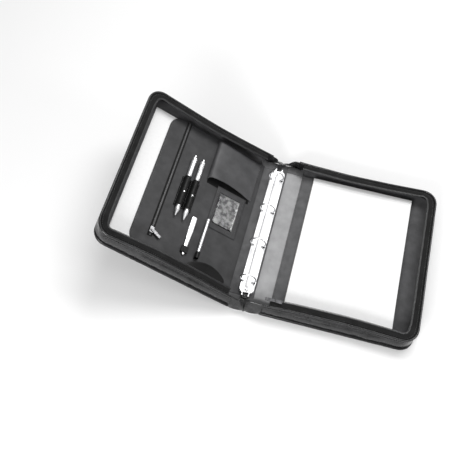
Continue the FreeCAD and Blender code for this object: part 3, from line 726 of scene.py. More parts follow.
def make_tray(place, side):
    """One cover's tray: padded cover, wall, half of the main zip and lining."""
    make_cover_shell(place, f"{side}_cover_leather", f"{side}_cover_shell")
    make_wall(place, f"{side}_tray_wall", f"{side}_wall")
    make_zip_half(place, f"{side}_zip_tape", f"{side}_zip_teeth", f"{side}_main_zip")
    make_lining(place, f"{side}_lining", f"{side}_lining_cloth")


# ---------------------------------------------------------------- rear tray contents


def make_sheet_stack(name, place, body, low, high, leaves, material, stands_for, curl, seed,
                     offset=0.5 * MM):
    """A stack of paper: a block of leaves with fine steps at its sides and a top leaf that curls."""
    rng = random.Random(seed)
    thick = (high[2] - low[2]) / leaves
    gap = 0.12 * thick
    points, faces = [], []
    rows, columns = 25, 33
    count = rows * columns
    border = outline_of(rows, columns)
    for k in range(leaves):
        du = rng.uniform(-offset, offset) * 0.5
        dy = rng.uniform(-offset, offset) * 0.5
        base = len(points)
        for level in (thick * (k + 1) - gap, thick * k):
            for fu, fy in itertools.product(np.linspace(0, 1, rows), np.linspace(0, 1, columns)):
                u = low[0] + offset + (high[0] - low[0] - 2 * offset) * fu + du
                y = low[1] + offset + (high[1] - low[1] - 2 * offset) * fy + dy
                w = low[2] + level
                if k == leaves - 1:
                    w += curl * max(0, fu - 0.55) ** 2 * max(0, 0.42 - fy) ** 2 * 40
                    w += 0.25 * MM * (1 + wobble(u, y, 70 * MM, seed)) * min(fu, 1 - fu, fy, 1 - fy) * 4
                points.append((u, y, w))
        if k == leaves - 1:
            faces += grid_faces(rows, columns, base)
        else:
            faces.append(tuple(base + v for v in border))
        if k in (0, leaves - 1):
            faces += grid_faces(rows, columns, base + count)
        else:
            faces.append(tuple(base + count + v for v in border))
        faces += rim_faces(rows, columns, base)
    add_piece(name, place.out(points), faces, material, body, slot="paper", stands_for=stands_for,
              smooth=False)


def make_rear_contents():
    """The pad, its glued binding, its card back and the strip that holds it."""
    low, high = REAR.span("writing_pad")
    make_sheet_stack("pad_leaves", REAR, "pad", low, high, 12, PAPER, ("writing_pad",), 3 * MM, 5)
    binding_low = (low[0], high[1] - 9 * MM, high[2] - 0.2 * MM)
    binding_high = (high[0], high[1] + 0.3 * MM, high[2] + 0.35 * MM)
    panel("pad_binding", REAR, binding_low, binding_high, SHEET_PAPER, roll=0.3 * MM, body="pad",
          slot="paper")
    dress(CARD_BACK, "pad_backing")
    low, high = REAR.span("pad_sleeve_strip")
    strip = panel("pad_strip", REAR, low, high, STRIP_LINING, roll=0.9 * MM, crown=0.5 * MM, ripple=0.3 * MM,
                  seed=4.0, slot="dark_lining", stands_for=("pad_sleeve_strip",),
                  shape=lambda u, y, w, top: (u, y, w if top or u < low[0] + 12 * MM else high[2] - 1.3 * MM))
    inset = 2.2 * MM
    level = high[2] + 0.3 * MM
    rows = [line(REAR, [(u, low[1] + inset, level), (u, high[1] - inset, level)])
            for u in (low[0] + inset, high[0] - inset)]
    sewn("pad_strip_seam", [(row, REAR.normal) for row in rows], "rear_cover", slot="dark_lining")


# ---------------------------------------------------------------- spine and folds

SPINE_TOP = SPINE.span("spine_lining")[1][2]
SPINE_HALF = SPINE.span("spine_leather")[1][1]
BAND_HALF = 149 * MM


def joined(name, sheet, material, slot, stands_for=()):
    """A piece that crosses a fold: its mesh is made in the row frame and is attached to no body."""
    points, faces = sheet
    piece = add_piece(name, points, faces, material, None, slot=slot, stands_for=stands_for)
    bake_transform(piece)


def ribbon(profile, y_low, y_high, thickness, step=6 * MM, waviness=0.0, seed=0.0):
    """A strip with a side-view profile in x and z, run along y, with a thickness below it."""
    profile = np.asarray(profile, float)
    tangents = np.gradient(profile, axis=0)
    tangents /= np.linalg.norm(tangents, axis=1)[:, None]
    normals = np.column_stack((-tangents[:, 1], tangents[:, 0]))
    count = max(2, round((y_high - y_low) / step))
    points, faces = [], []
    size = len(profile)
    for k in range(count + 1):
        y = y_low + (y_high - y_low) * k / count
        for top in (1, 0):
            for i, (x, z) in enumerate(profile):
                share = i / (size - 1)
                lift = waviness * wobble(x, y, 22 * MM, seed) * math.sin(math.pi * share)
                off = lift - (0 if top else thickness)
                points.append((x + normals[i][0] * off, y, z + normals[i][1] * off))
    row = 2 * size
    for k in range(count):
        for i in range(size - 1):
            a = k * row + i
            faces.append((a, a + 1, a + row + 1, a + row))
            b = a + size
            faces.append((b, b + row, b + row + 1, b + 1))
        for i in (0, size - 1):
            a = k * row + i
            faces.append((a, a + row, a + row + size, a + size))
    for k in (0, count):
        for i in range(size - 1):
            a = k * row + i
            faces.append((a, a + 1, a + size + 1, a + size))
    return points, faces


def curve_through(points, count=24):
    """A smooth line through points, as close points."""
    p = np.asarray(points, float)
    padded_points = np.vstack([2 * p[0] - p[1], p, 2 * p[-1] - p[-2]])
    result = []
    for i in range(1, len(padded_points) - 2):
        a, b, c, d = padded_points[i - 1:i + 3]
        for k in range(count // (len(p) - 1) + 1):
            t = k / (count // (len(p) - 1) + 1)
            result.append(0.5 * (2 * b + (c - a) * t + (2 * a - 5 * b + 4 * c - d) * t * t
                                 + (3 * b - a - 3 * c + d) * t ** 3))
    result.append(p[-1])
    return np.array(result)


def fold_point(place, u, w, y=0.0):
    """A point of a flat frame, in the row frame."""
    return place.out([(u, y, w)])[0]


def past_fold(place, sign, reach, z, y=0.0):
    """A point on the spine's side of a fold, in the row frame."""
    return np.array((place.base[0] - sign * reach, y, z))


def make_fold(place, side, sign):
    """The leather that turns round a fold outside, and the lining that crosses it inside."""

    def profile(points):
        path = curve_through(points)[:, [0, 2]]
        return path[::-1] if sign > 0 else path

    outside = profile([fold_point(place, 16 * MM, 0.9 * MM), fold_point(place, 7 * MM, 0.7 * MM),
                       fold_point(place, 1.5 * MM, 1.6 * MM),
                       past_fold(place, sign, 4.2 * MM, HINGE - 1.2 * MM),
                       past_fold(place, sign, 14 * MM, HINGE - 0.5 * MM)])
    strip = ribbon(outside, -SPINE_HALF, SPINE_HALF, 1.0 * MM, waviness=0.3 * MM, seed=5.0 + sign)
    joined(side + "_fold_leather", strip, LEATHER, "black_leather")
    inside = profile([fold_point(place, 17.5 * MM, FLOOR + 0.7 * MM),
                      fold_point(place, 9 * MM, FLOOR + 1.3 * MM),
                      fold_point(place, 3 * MM, FLOOR + 2.4 * MM),
                      past_fold(place, sign, 5 * MM, SPINE_TOP + 0.9 * MM),
                      past_fold(place, sign, 15 * MM, SPINE_TOP + 0.5 * MM)])
    strip = ribbon(inside, -BAND_HALF, BAND_HALF, 0.8 * MM, waviness=0.4 * MM, seed=9.0 + sign)
    # the rear fold's lining gets the lighter grey copy, which is painted light where it slopes up towards the
    # lamps; the front one keeps the strip lining
    material, slot = (PAINTED_LIT_LINING, "light_lining") if side == "rear" else (STRIP_LINING, "dark_lining")
    joined(side + "_fold_lining", strip, material, slot,
           stands_for=(side + "_hinge_band",))
    for end_name, way in ENDS:
        reach = sorted((way * (BAND_HALF - 1 * MM), way * (HALF - 4 * MM)))
        flap = ribbon(inside + np.array((0, 0.5 * MM)), *reach, 1.0 * MM, step=3 * MM, waviness=0.8 * MM,
                      seed=13.0 + sign + way)
        joined(f"{side}_fold_flap_{end_name}", flap, STRIP_LINING, "dark_lining")


GUSSET_HEAD = {1: HINGE + 11 * MM, -1: HINGE + 21 * MM}    # top of the seam between two gussets


def make_end_gusset(place, side, sign, end_name, way):
    """Soft leather from a tray's wall to the middle of the spine."""
    rows, columns = 18, 15
    wall_y = HALF - lean(place, 0.0)[0] - 1.6 * MM
    middle_x = SPINE_MIDDLE[0] + sign * 0.2 * MM
    head_level = GUSSET_HEAD[way]
    head = curve_through([fold_point(place, 9 * MM, RIM - 2.6 * MM, wall_y),
                          fold_point(place, -5 * MM, RIM - 3.5 * MM, wall_y),
                          np.array((middle_x + sign * 9 * MM, wall_y - 2 * MM, head_level + 2 * MM)),
                          np.array((middle_x, wall_y - 4 * MM, head_level - 3 * MM))], rows)
    foot = curve_through([fold_point(place, 9 * MM, 5 * MM, HALF - 1.6 * MM),
                          fold_point(place, -2 * MM, 2.5 * MM, HALF + 3 * MM),
                          np.array((middle_x + sign * 12 * MM, HALF + 5 * MM, 3 * MM)),
                          np.array((middle_x, HALF + 3.5 * MM, 2.5 * MM))], rows)
    rows = len(head)
    seed = 11.0 + sign * 2 + way
    points = []
    for layer in (0, 1):
        for i in range(rows):
            s = i / (rows - 1)
            for t in np.linspace(0, 1, columns):
                p = foot[i] * (1 - t) + head[i] * t
                hump = math.sin(math.pi * t)
                bulge = 3.2 * MM * hump * (1 - 0.4 * s) * min(s / 0.2, 1)
                pleat = 3.0 * MM * hump * math.sin(2.5 * math.pi * (s + 0.25 * t)) * s
                crease = 1.0 * MM * wobble(s * 3, t * 2, 0.6, seed) * hump
                y = p[1] + bulge + pleat + crease - layer * 1.4 * MM
                points.append((p[0], way * y, max(p[2], 0.8 * MM)))
    joined(f"{side}_gusset_{end_name}", (points, sheet_faces(rows, columns)), GUSSET,
           "black_leather")


def make_gusset_binding(end_name, way):
    """A leather binding that covers the seam where the two gussets meet."""
    head = np.array((HALF - lean(REAR, 0.0)[0] - 5.6 * MM, GUSSET_HEAD[way] - 3 * MM))
    foot = np.array((HALF + 3.5 * MM, 2.5 * MM))
    radius = 1.5 * MM
    sections = []
    for t in np.linspace(-0.02, 1.04, 20):
        y, z = foot * (1 - t) + head * t
        y += 1.56 * MM * math.sin(math.pi * min(max(t, 0), 1)) - 0.3 * MM
        sections.append([(SPINE_MIDDLE[0] + radius * math.cos(a), way * (y + radius * math.sin(a)), z)
                         for a in around(14)])
    swept(f"gusset_binding_{end_name}", sections, LEATHER, "spine", slot="black_leather",
          stands_for=("spine_ends",) if way > 0 else ())


def make_spine():
    """The spine's back and lining, with the folds, gussets and bindings round it."""
    low, high = SPINE.span("spine_leather")
    low = (low[0], low[1], low[2] - 0.8 * MM)
    back = panel("spine_back", SPINE, low, high, LEATHER, roll=0.4 * MM, under=1.4 * MM, slot="black_leather",
                 stands_for=("spine_leather",))
    low, high = SPINE.span("spine_lining")
    panel("spine_cloth", SPINE, low, high, STRIP_LINING, roll=0.25 * MM, ripple=0.15 * MM,
          ripple_size=20 * MM, slot="dark_lining", stands_for=("spine_lining",))
    for side, place, sign in (("rear", REAR, 1), ("front", FRONT, -1)):
        make_fold(place, side, sign)
        for end_name, way in ENDS[::-1]:
            make_end_gusset(place, side, sign, end_name, way)
    for end_name, way in ENDS[::-1]:
        make_gusset_binding(end_name, way)


# ---------------------------------------------------------------- ring mechanism


def make_ring_plate():
    """The mechanism's finishes, and a raised ridge along the middle of its cover plate."""
    low, high = SPINE.span("ring_plate")
    middle = SPINE.base[0] + (low[0] + high[0]) / 2
    dress(PLATE_STEEL, "ring_plate")
    dress(RING_STEEL, "ring_plate_rivets", "ring_half_left", "ring_half_right", "lever_pins")
    dress(BLACK_PLASTIC, "trigger_lever_far", "trigger_lever_near")
    half = high[1] - 14 * MM
    foot = high[2] - 0.4 * MM
    sections = []
    for y in np.linspace(-half, half, 61):
        room = max(0.0, min(1.0, (half - abs(y)) / (9 * MM))) ** 0.5
        width = (2.0 + 3.8 * room) * MM
        rise = (0.65 + 0.55 * room) * MM
        ring = [(middle + width * (2 * f - 1), y, foot + rise * math.sin(math.pi * f) ** 0.7)
                for f in np.linspace(0, 1, 9)]
        ring += [(middle + side * width, y, high[2] - 0.5 * MM) for side in (1, -1)]
        sections.append(ring)
    swept("ring_plate_ridge", sections, PLATE_STEEL, "spine", slot="ring_steel")


STRAP_SIDES = 32


def strap_half(way, arm_end_y):
    """Half of the carrying strap: a padded grip that thins into an arm. Returns points and faces."""
    low, high = SPINE.span("handle_arm_far")
    grip_end = SPINE.span("handle_grip")[1][1]
    half_width = high[0]
    lines_y = [*np.linspace(0, grip_end - 6 * MM, 7), *np.linspace(grip_end - 4 * MM, grip_end + 8 * MM, 12),
               *np.linspace(grip_end + 12 * MM, arm_end_y - 2 * MM, 12), arm_end_y - 0.8 * MM, arm_end_y]
    points = []
    for y in lines_y:
        pad = min(max((grip_end + 1 * MM - y) / (7 * MM), 0), 1)
        pad = pad * pad * (3 - 2 * pad)
        tip = 1 - 0.35 * max(0, 1 - (arm_end_y - y) / (1.2 * MM))
        bottom = low[2] - 1.5 * MM * pad
        top = high[2] + 0.9 * MM * pad
        for a in around(STRAP_SIDES):
            x, z = squarish(a, half_width, (top - bottom) / 2 * tip, (0.22, 0.5 + 0.4 * pad))
            points.append((SPINE.base[0] + x, way * y, (bottom + top) / 2 + z))
    return points, tube_faces(len(lines_y), STRAP_SIDES)


def make_keeper(name, y, bar_low, bar_half, stands_for):
    """A flat metal bar bent into a staple over the strap."""
    reach, top, corner = bar_half, HINGE - 1.2 * MM, 2.2 * MM
    bottom = bar_low + 0.9 * MM
    leg = [(reach, top), (reach, bottom + corner + 1 * MM)]
    leg += [(reach - corner + corner * math.cos(a), bottom + corner - corner * math.sin(a))
            for a in np.linspace(0, math.pi / 2, 7)]
    path = np.array([(-x, z) for x, z in leg] + leg[::-1])
    tangents = np.gradient(path, axis=0)
    tangents /= np.linalg.norm(tangents, axis=1)[:, None]
    sections = []
    for (x, z), (tx, tz) in zip(path, tangents):
        ring = []
        for a in around(16):
            wide, thick = squarish(a, 2.5 * MM, 0.8 * MM, (0.5, 0.6))
            ring.append((SPINE.base[0] + x - tz * thick, y + wide, z + tx * thick))
        sections.append(ring)
    swept(name, sections, PULL_METAL, "spine", slot="zip_metal", stands_for=stands_for)


def make_handle():
    """A flat stitched strap: a padded grip with two arms, and ends that slide through keepers."""
    inset = 2.6 * MM
    arm_low, arm_high = SPINE.span("handle_arm_far")
    grip_end = SPINE.span("handle_grip")[1][1]
    keeper_low, keeper_high = SPINE.span("handle_keepers")
    for end, way in ENDS:
        arm = f"handle_arm_{end}"
        tip = f"handle_end_{end}"
        points, faces = strap_half(way, arm_high[1])
        strap = add_piece(f"handle_strap_{end}", points, faces, LEATHER, None, slot="black_leather",
                          stands_for=("handle_grip", arm))
        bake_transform(strap)
        low, high = SPINE.span(tip)
        panel(f"{tip}_leather", SPINE, low, high, LEATHER, 1 * MM, (-1, 1), 1.1 * MM, 1.1 * MM,
              step=4 * MM, body=tip, slot="black_leather", stands_for=(tip,))
        seams = ((f"strap_seam_{end}", arm, grip_end + 9 * MM, arm_high[1] - 3 * MM, arm_low[2] + 0.1 * MM),
                 (f"grip_seam_{end}", "handle_grip", 1 * MM, grip_end - 7 * MM, arm_low[2] - 1.2 * MM))
        for side, side_name in ((-1, "left"), (1, "right")):
            x = side * (arm_high[0] - inset)
            for name, body, start, stop, level in seams:
                run = line(SPINE, [(x, y, level) for y in sorted((way * start, way * stop))])
                sewn(f"{name}_{side_name}", [(run, -SPINE.normal)], body)
        make_keeper(f"handle_keeper_{end}", way * (keeper_high[1] - 2.5 * MM), keeper_low[2],
                    keeper_high[0] - 0.9 * MM, ("handle_keepers",) if way > 0 else ())
    dress(LEATHER, "handle_bases")


# ---------------------------------------------------------------- front tray contents


def make_organiser():
    """The leather panel that carries the pockets, with paper tucked behind it."""
    low, high = FRONT.span("document_sheets")
    make_sheet_stack("tucked_sheets", FRONT, "front_cover", low, high, 3, SHEET_PAPER, ("document_sheets",),
                     1.2 * MM, 12, 1.6 * MM)
    low, high = FRONT.span("organiser_panel")
    low[2] = high[2] - 1.8 * MM
    board = panel("organiser_leather", FRONT, low, high, PANEL, 24 * MM, (1,), 0.9 * MM, ripple=0.7 * MM,
                  ripple_size=55 * MM, seed=6.0, slot="panel_leather", stands_for=("organiser_panel",))
    inset = 2.8 * MM
    top = high[2] + 0.35 * MM
    radius = 21 * MM
    near, far = low[1] + inset, high[1] - inset
    start, turn = low[0] + inset, high[0] - inset - radius
    quarter = np.linspace(0, math.pi / 2, 9)
    runs = [[(start, near), (turn, near)],
            [(turn + radius * math.sin(a), near + radius - radius * math.cos(a)) for a in quarter],
            [(turn + radius, near + radius), (turn + radius, far - radius)],
            [(turn + radius * math.cos(a), far - radius + radius * math.sin(a)) for a in quarter],
            [(turn, far), (start, far)]]
    sew_on([[(u, y, top) for u, y in run] for run in runs], "organiser_seam")


def make_lower_pocket():
    """A near-black pocket across the near end whose mouth bows up in the middle and stands open a little; the
    near-black is painted shade of the open mouth.
    """
    low, high = FRONT.span("lower_pocket")

    def bow(u, y, w, top):
        share = (u - low[0]) / (high[0] - low[0])
        edge = (y - low[1]) / (high[1] - low[1])
        arch = math.sin(math.pi * share) ** 0.8
        return u, y - 13 * MM * (1 - arch) * edge, w + 5.5 * MM * arch * edge ** 1.5

    # painted shade: the pocket takes the near-black sleeve leather, darker than the panel, to stand for the
    # shade in its open mouth
    piece = panel("lower_pocket_leather", FRONT, low, high, SLEEVE, 6 * MM, (-1, 1), 0.5 * MM,
                  ripple=0.25 * MM, ripple_size=20 * MM, step=3 * MM, shape=bow, slot="panel_leather",
                  stands_for=("lower_pocket",))
    inset = 2 * MM
    lift = high[2] + 0.3 * MM
    sew_on([[(u, low[1] + inset, lift) for u in (low[0] + inset, high[0] - inset)]], "lower_pocket_seam")


# the phone pocket's section across: distance from the spine's side and height, in millimetres
POCKET_SECTION = ((0.0, 0.2), (0.5, 1.4), (4, 1.6), (14, 2.6), (26, 4.6), (40, 6.8), (56, 8.8), (72, 10.2),
                  (86, 11.0), (95, 11.2), (99, 10.4), (101.2, 8.4), (101.9, 5.5), (102, 2.5), (102, 0.2))


def make_phone_pocket():
    """A wedge-shaped phone pocket: deep along its outer side, flat by the spine, gaping at its near end."""
    low, high = FRONT.span("phone_pocket")
    width = high[0] - low[0]
    floor = high[2] - 11 * MM
    outline = np.array(POCKET_SECTION) * (width / POCKET_SECTION[-1][0], MM)
    rows = 35
    points = []
    for layer in (0, 1):
        shrink = layer * 1.2 * MM
        for t in np.linspace(0, 1, rows):
            far = min((1 - t) / 0.1, 1.0) ** 0.5
            mouth = (1 - t) ** 4
            for a, b in outline:
                f = a / width
                setback = 7 * MM * mouth * math.sin(math.pi * min(1, f * 0.8 + 0.1))
                y = low[1] + (high[1] - low[1]) * t + setback
                height = b * (0.2 + 0.8 * far) * (1 + 0.12 * mouth * math.sin(math.pi * f))
                crease = 0.6 * MM * wobble(a, y, 17 * MM, 3.0) * min(1, b / (6 * MM))
                u = low[0] + a - (shrink if f > 0.97 else 0.0)
                points.append((u, y, floor + max(height + crease - shrink, 0.15 * MM)))
    case = add_piece("phone_case", FRONT.out(points), sheet_faces(rows, len(outline)), POCKET, "front_cover",
                     slot="panel_leather", stands_for=("phone_pocket",))
    # painted shade: a near-black sheet under the pocket, reaching 6 mm past its mouth, stands for the shade
    # inside it and the shadow below the mouth
    panel("phone_pocket_shade_sheet", FRONT, (low[0] + 6 * MM, low[1] - 6 * MM, floor - 0.1 * MM),
          (high[0] - 1.5 * MM, high[1] - 2 * MM, floor + 0.5 * MM), PAINTED_SHADE_LINING, roll=0.3 * MM,
          ripple=0.2 * MM, ripple_size=15 * MM, slot="panel_leather")
    seam = FRONT.out([(low[0] + 3 * MM, low[1] + (high[1] - low[1]) * t, floor + 2.0 * MM)
                      for t in np.linspace(0.02, 0.98, 40)])
    sewn("phone_case_seam", [(seam, FRONT.normal)], "front_cover", slot="panel_leather")


# the window frame's section from its outer edge to the window: share of the way, height in millimetres
FRAME_SECTION = ((0.0, -1.7), (0.0, -0.5), (0.05, 0.0), (0.3, 0.25), (0.7, 0.25), (0.92, 0.0), (1.0, -0.5),
                 (1.0, -0.95))


def corners_of(low, high):
    """The four corners of a rectangle, in order."""
    return [np.array((u[0], y[1])) for u, y in ((low, low), (high, low), (high, high), (low, high))]


def make_card_pocket():
    """A leather pocket with a window frame over an identity card."""
    low, high = FRONT.span("card_pocket")
    window_low = np.array((39, -32)) * MM
    window_high = np.array((83, 37)) * MM
    frame_w = high[2]
    outer = corners_of(low, high)
    inner = corners_of(window_low, window_high)
    steps = 10
    size = len(FRAME_SECTION)
    points, faces = [], []
    for k in range(4 * steps):
        side, f = k // steps, k % steps / steps
        edge = outer[side] * (1 - f) + outer[(side + 1) % 4] * f
        window = inner[side] * (1 - f) + inner[(side + 1) % 4] * f
        for j, (share, drop) in enumerate(FRAME_SECTION):
            if edge[1] < low[1] + 0.5 * MM:
                drop = max(drop, -0.7)
            u, y = edge * (1 - share) + window * share
            wave = 0.25 * MM * wobble(u, y, 14 * MM, 2.0) * (0 < share < 1)
            points.append((u, y, frame_w + drop * MM + wave))
            if j:
                a = k * size + j - 1
                b = (k + 1) % (4 * steps) * size + j - 1
                faces.append((a, b, b + 1, a + 1))
    add_piece("card_frame", FRONT.out(points), faces, PANEL, "front_cover", slot="panel_leather",
              stands_for=("card_pocket",))
    lift = high[2] + 0.4 * MM
    inset = 4.6 * MM
    left, right, near, far = low[0] + inset, high[0] - inset, low[1] + inset, high[1] - inset
    sew_on([[(u, y, lift) for u, y in ((left, far), (left, near), (right, near), (right, far))]],
           "card_frame_seam")
    panel("card_window", FRONT, (*(window_low - 1 * MM), frame_w - 0.95 * MM),
          (*(window_high + 1 * MM), frame_w - 0.75 * MM), WINDOW, roll=0.0, crown=0.25 * MM,
          slot="panel_leather")
    dress(CARD, "identity_card")


# blocks across one small tooth, as in TOOTH
SMALL_TOOTH = ((1.6, 0.5, 0.35), (1.1, 0.6, 0.55), (0.2, 0.5, 0.6), (-0.3, 0.42, 0.4))


def make_pocket_zip():
    """The long pocket zip across the panel: its tape and its teeth, which reach in from both sides."""
    low, high = FRONT.span("pocket_zip_tape")
    middle = (low[0] + high[0]) / 2
    tape = panel("pocket_tape", FRONT, (low[0], low[1], low[2] - 0.3 * MM), high, TAPE_CLOTH, roll=0.3 * MM,
                 ripple=0.25 * MM, ripple_size=12 * MM, step=4 * MM, slot="zip_tape",
                 stands_for=("pocket_zip_tape",))
    low, high = FRONT.span("pocket_zip_teeth")
    level = low[2] + 0.65 * MM
    points, faces = [], []
    pitch = 2.2 * MM
    for k in range(int((high[1] - low[1]) / pitch)):
        for side, shift in ((-1, 0.25), (1, 0.75)):
            y = low[1] + pitch * (k + shift)
            faces += tube_faces(len(SMALL_TOOTH), len(SQUARE), len(points))
            for reach, half_y, half_w in SMALL_TOOTH:
                points += [(middle + side * reach * MM, y + a * half_y * MM, level + b * half_w * MM)
                           for a, b in SQUARE]
    add_piece("pocket_teeth", FRONT.out(points), faces, POCKET_TEETH, "front_cover", slot="zip_coil",
              stands_for=("pocket_zip_teeth",), smooth=False)


# ---------------------------------------------------------------- pens, tools and pulls


def soften(width, *nodes):
    """A fine bevel on the sharp edges of CAD nodes."""
    for node in nodes:
        bevel = frame["nodes"][node].modifiers.new("edges", "BEVEL")
        bevel.width = width
        bevel.segments = 2
        bevel.limit_method = "ANGLE"
        bevel.angle_limit = math.radians(40)


# a pen's trim band: place along it and height above the barrel, in millimetres
BAND = ((-1.3, 0.0), (-1.2, 0.25), (-0.6, 0.4), (0.6, 0.4), (1.2, 0.25), (1.3, 0.0))


def make_pens():
    """The pens' finishes and trim bands, and the sleeve and snap that hold each pen."""
    holds = []
    for pen in ("pen_1", "pen_2"):
        dress(PEN_METAL, pen + "_barrel", pen + "_tip")
        dress(RING_STEEL, pen + "_clip", pen + "_button")
        low, high = FRONT.span(pen + "_barrel")
        middle, _, level = (low + high) / 2
        radius = (high[0] - low[0]) / 2
        for k, y in enumerate((high[1] - 3 * MM, low[1] + 6 * MM)):
            sections = []
            for shift, rise in BAND:
                r = radius + rise * MM
                ring = [(middle + r * math.cos(a), y + shift * MM, level + r * math.sin(a))
                        for a in around(24)]
                sections.append(FRONT.out(ring))
            swept(f"{pen}_band_{k}", sections, PEN_TRIM, pen, slot="pen_trim")
        holds.append((middle, level, radius + 0.35 * MM, high[2] + 1.1 * MM))
    low, high = FRONT.span("pen_sleeves")
    for number, (middle, level, radius, top) in enumerate(holds):
        make_sleeve(f"pen_sleeve_{number}", middle, level, radius, low[1], high[1],
                    ("pen_sleeves",) if number == 0 else ())
        make_snap(f"pen_sleeve_snap_{number}", middle, -6 * MM, top)


def make_sleeve(name, middle, level, radius, y_low, y_high, stands_for):
    """A leather loop sewn down on both sides of a pen, drawn in at its seams."""
    wing = 3.5 * MM
    thick = 0.9 * MM
    base = PANEL_TOP + 0.1 * MM
    over = np.linspace(math.pi * 1.05, -math.pi * 0.05, 15)
    sections = []
    for t in np.linspace(0, 1, 19):
        y = y_low + (y_high - y_low) * t
        flare = 1 + 0.10 * (abs(2 * t - 1)) ** 6
        squeeze = 1 - 0.03 * math.sin(3 * math.pi * t)
        r = (radius + thick) * flare * squeeze
        q = radius * flare
        outline = [(-r - wing, base + thick), (-r - 0.6 * MM, base + thick)]
        outline += [(r * math.cos(a), level + r * math.sin(a)) for a in over]
        outline += [(r + 0.6 * MM, base + thick), (r + wing, base + thick), (r + wing, base), (q, base)]
        outline += [(q * math.cos(a), level + q * math.sin(a)) for a in over[::-1]]
        outline += [(-q, base), (-r - wing, base)]
        sections.append(FRONT.out([(middle + u, y, max(w, base)) for u, w in outline]))
    swept(name, sections, SLEEVE, "front_cover", slot="panel_leather", stands_for=stands_for)
    lift = base + thick + 0.3 * MM
    sides = [middle + side * (radius + 2.6 * MM) for side in (-1, 1)]
    sew_on([[(u, y_low + 1 * MM, lift), (u, y_high - 1 * MM, lift)] for u in sides], name + "_seams")


def make_snap(name, u, y, w):
    """A small domed metal snap."""
    radius = 1.9 * MM
    height = 0.9 * MM
    sides = 18
    rings = ((1.0, 0.0), (1.0, 0.35), (0.9, 0.62), (0.62, 0.85), (0.3, 0.97))
    points = [(u + r * radius * math.cos(a), y + r * radius * math.sin(a), w + h * height)
              for r, h in rings for a in around(sides)]
    points.append((u, y, w + height))
    faces = []
    for j in range(len(rings) - 1):
        for k in range(sides):
            a, b = j * sides + k, j * sides + (k + 1) % sides
            faces.append((a, b, b + sides, a + sides))
    last = (len(rings) - 1) * sides
    faces += [(last + k, last + (k + 1) % sides, len(points) - 1) for k in range(sides)]
    add_piece(name, FRONT.out(points), faces, RING_STEEL, "front_cover", slot="pen_trim")


def make_tools():
    """A tapered letter opener and a pencil, each in its loop."""
    low, high = FRONT.span("letter_opener")
    middle = (low[0] + high[0]) / 2

    def taper(u, y, w, top):
        share = (y - low[1]) / (high[1] - low[1])
        width = min(0.42 + 0.9 * share, 1.0)
        return middle + (u - middle) * width, y, w

    panel("opener_blade", FRONT, low, high, PEN_METAL, 3 * MM, (-1, 1), 0.6 * MM, 0.3 * MM, step=2 * MM,
          shape=taper, body="letter_opener", slot="pen_metal", stands_for=("letter_opener",))
    dress(PEN_METAL, "pencil")
    dress(SLEEVE, "tool_loops")
    soften(0.6 * MM, "tool_loops")


def make_pulls():
    """Finishes of the zip sliders and pullers, and fine bevels on the metal and plastic parts."""
    dress(BLACK_METAL, "main_zip_slider", "main_zip_puller")
    dress(PULL_METAL, "pocket_zip_slider", "pocket_zip_puller")
    soften(0.45 * MM, "main_zip_slider", "main_zip_puller", "pocket_zip_slider", "pocket_zip_puller")
    soften(0.4 * MM, "trigger_lever_far", "trigger_lever_near")
    soften(0.3 * MM, "ring_plate", "handle_bases")


def dress_hidden():
    """Inner boards and edges that only show at the ends."""
    dress(CARD_BACK, "rear_cover_board", "front_cover_board", "spine_board")
    soften(0.2 * MM, "pad_backing")


def make_outer_pocket():
    """The slip pocket on the front cover's outer face, whose mouth slants back at both ends."""
    low, high = FRONT.span("front_outer_pocket")
    low = (low[0], low[1] + 1.5 * MM, low[2] - 0.7 * MM)
    high = (high[0] - 1.5 * MM, high[1] - 1.5 * MM, high[2])
    straight = 112 * MM

    def mouth_shift(y):
        return 42 * MM * max(0, (abs(y) - straight) / (HALF - straight))

    def chamfer(u, y, w, top):
        return u + mouth_shift(y) * (high[0] - u) / (high[0] - low[0]), y, w

    pocket = panel("outer_pocket_leather", FRONT, low, high, LEATHER, CORNER - 1 * MM, (1,), roll=0.2 * MM,
                   under=1.0 * MM, shape=chamfer, slot="black_leather", stands_for=("front_outer_pocket",))
    inset = 3 * MM
    level = low[2] - 0.05 * MM
    bends = (low[1] + inset, -straight, straight, high[1] - inset)
    runs = [line(FRONT, [(low[0] + d + mouth_shift(y), y, level) for y in bends]) for d in (inset, 6.5 * MM)]
    sewn("outer_pocket_seam", [(run, -FRONT.normal) for run in runs], "front_cover")


# ---------------------------------------------------------------- light, floor and camera


def make_stage():
    """A plain pale floor just under the object."""
    mesh = bpy.data.meshes.new("floor")
    size = 6.0
    mesh.from_pydata([(a * size, b * size, 0) for a, b in SQUARE], [], [(0, 1, 2, 3)])
    mesh.materials.append(new_material("floor", (0.93, 0.93, 0.93), 0.7))
    floor = bpy.data.objects.new("floor", mesh)
    bpy.context.collection.objects.link(floor)
    floor.location.z = min(0.0, cad_low[2]) - 0.0003


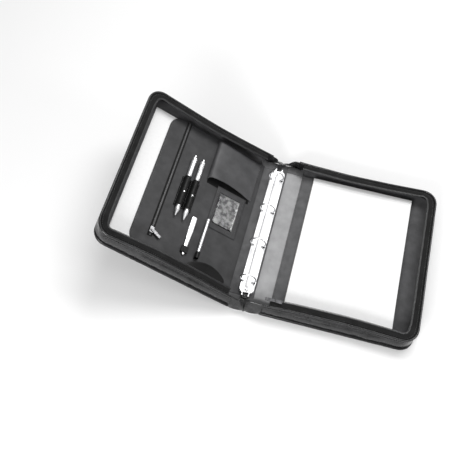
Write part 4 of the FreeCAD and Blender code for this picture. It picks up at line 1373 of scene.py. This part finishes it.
def area_light(name, place, aim, size, power):
    """A soft rectangular lamp that looks at a point."""
    lamp = bpy.data.lights.new(name, "AREA")
    lamp.shape = "RECTANGLE"
    lamp.size, lamp.size_y = size
    lamp.energy = power
    holder = bpy.data.objects.new(name, lamp)
    bpy.context.collection.objects.link(holder)
    holder.location = place
    holder.rotation_euler = (Vector(aim) - Vector(place)).to_track_quat("-Z", "Y").to_euler()


def make_lights():
    """An even white sky, a low lamp by the near end, a wide one overhead and a weak one at the right."""
    world = bpy.data.worlds.new("studio")
    bpy.context.scene.world = world
    world.use_nodes = True
    sky = world.node_tree.nodes["Background"]
    sky.inputs["Color"].default_value = (1, 1, 1, 1)
    sky.inputs["Strength"].default_value = 0.31
    middle = (SPINE_MIDDLE[0], 0, 0.05)
    area_light("key", (-0.55, -1.5, 0.75), middle, (0.9, 0.5), 22)
    area_light("top", (0.3, 1.1, 1.9), middle, (1.8, 1.0), 37)
    area_light("right", (1.6, -0.4, 0.9), middle, (0.6, 0.9), 6)


def make_camera():
    """The eye is above and in front of the near end, turned a little to the left."""
    turn, tilt, roll = math.radians(10.91), math.radians(58.02), math.radians(-4.33)
    aim = Vector((-0.24787, -0.00094, 0.0))
    distance = 1.4984
    forward = Vector((-math.sin(turn) * math.cos(tilt), math.cos(turn) * math.cos(tilt), -math.sin(tilt)))
    side = forward.cross(Vector((0, 0, 1))).normalized()
    up = side.cross(forward)
    tipped_side = side * math.cos(roll) - up * math.sin(roll)
    tipped_up = side * math.sin(roll) + up * math.cos(roll)
    camera = bpy.data.cameras.new("camera")
    camera.lens = 61.04
    camera.sensor_width = 36
    eye = bpy.data.objects.new("camera", camera)
    bpy.context.collection.objects.link(eye)
    eye.matrix_world = Matrix((tipped_side, tipped_up, -forward)).transposed().to_4x4()
    eye.location = aim - forward * distance
    bpy.context.scene.camera = eye
    bpy.context.scene.view_settings.view_transform = "Standard"


make_camera()
make_lights()
make_stage()
make_tray(REAR, "rear")
make_tray(FRONT, "front")
make_rear_contents()
make_spine()
make_ring_plate()
make_handle()
make_organiser()
make_lower_pocket()
make_phone_pocket()
make_card_pocket()
make_pocket_zip()
make_pens()
make_tools()
make_pulls()
make_outer_pocket()
dress_hidden()
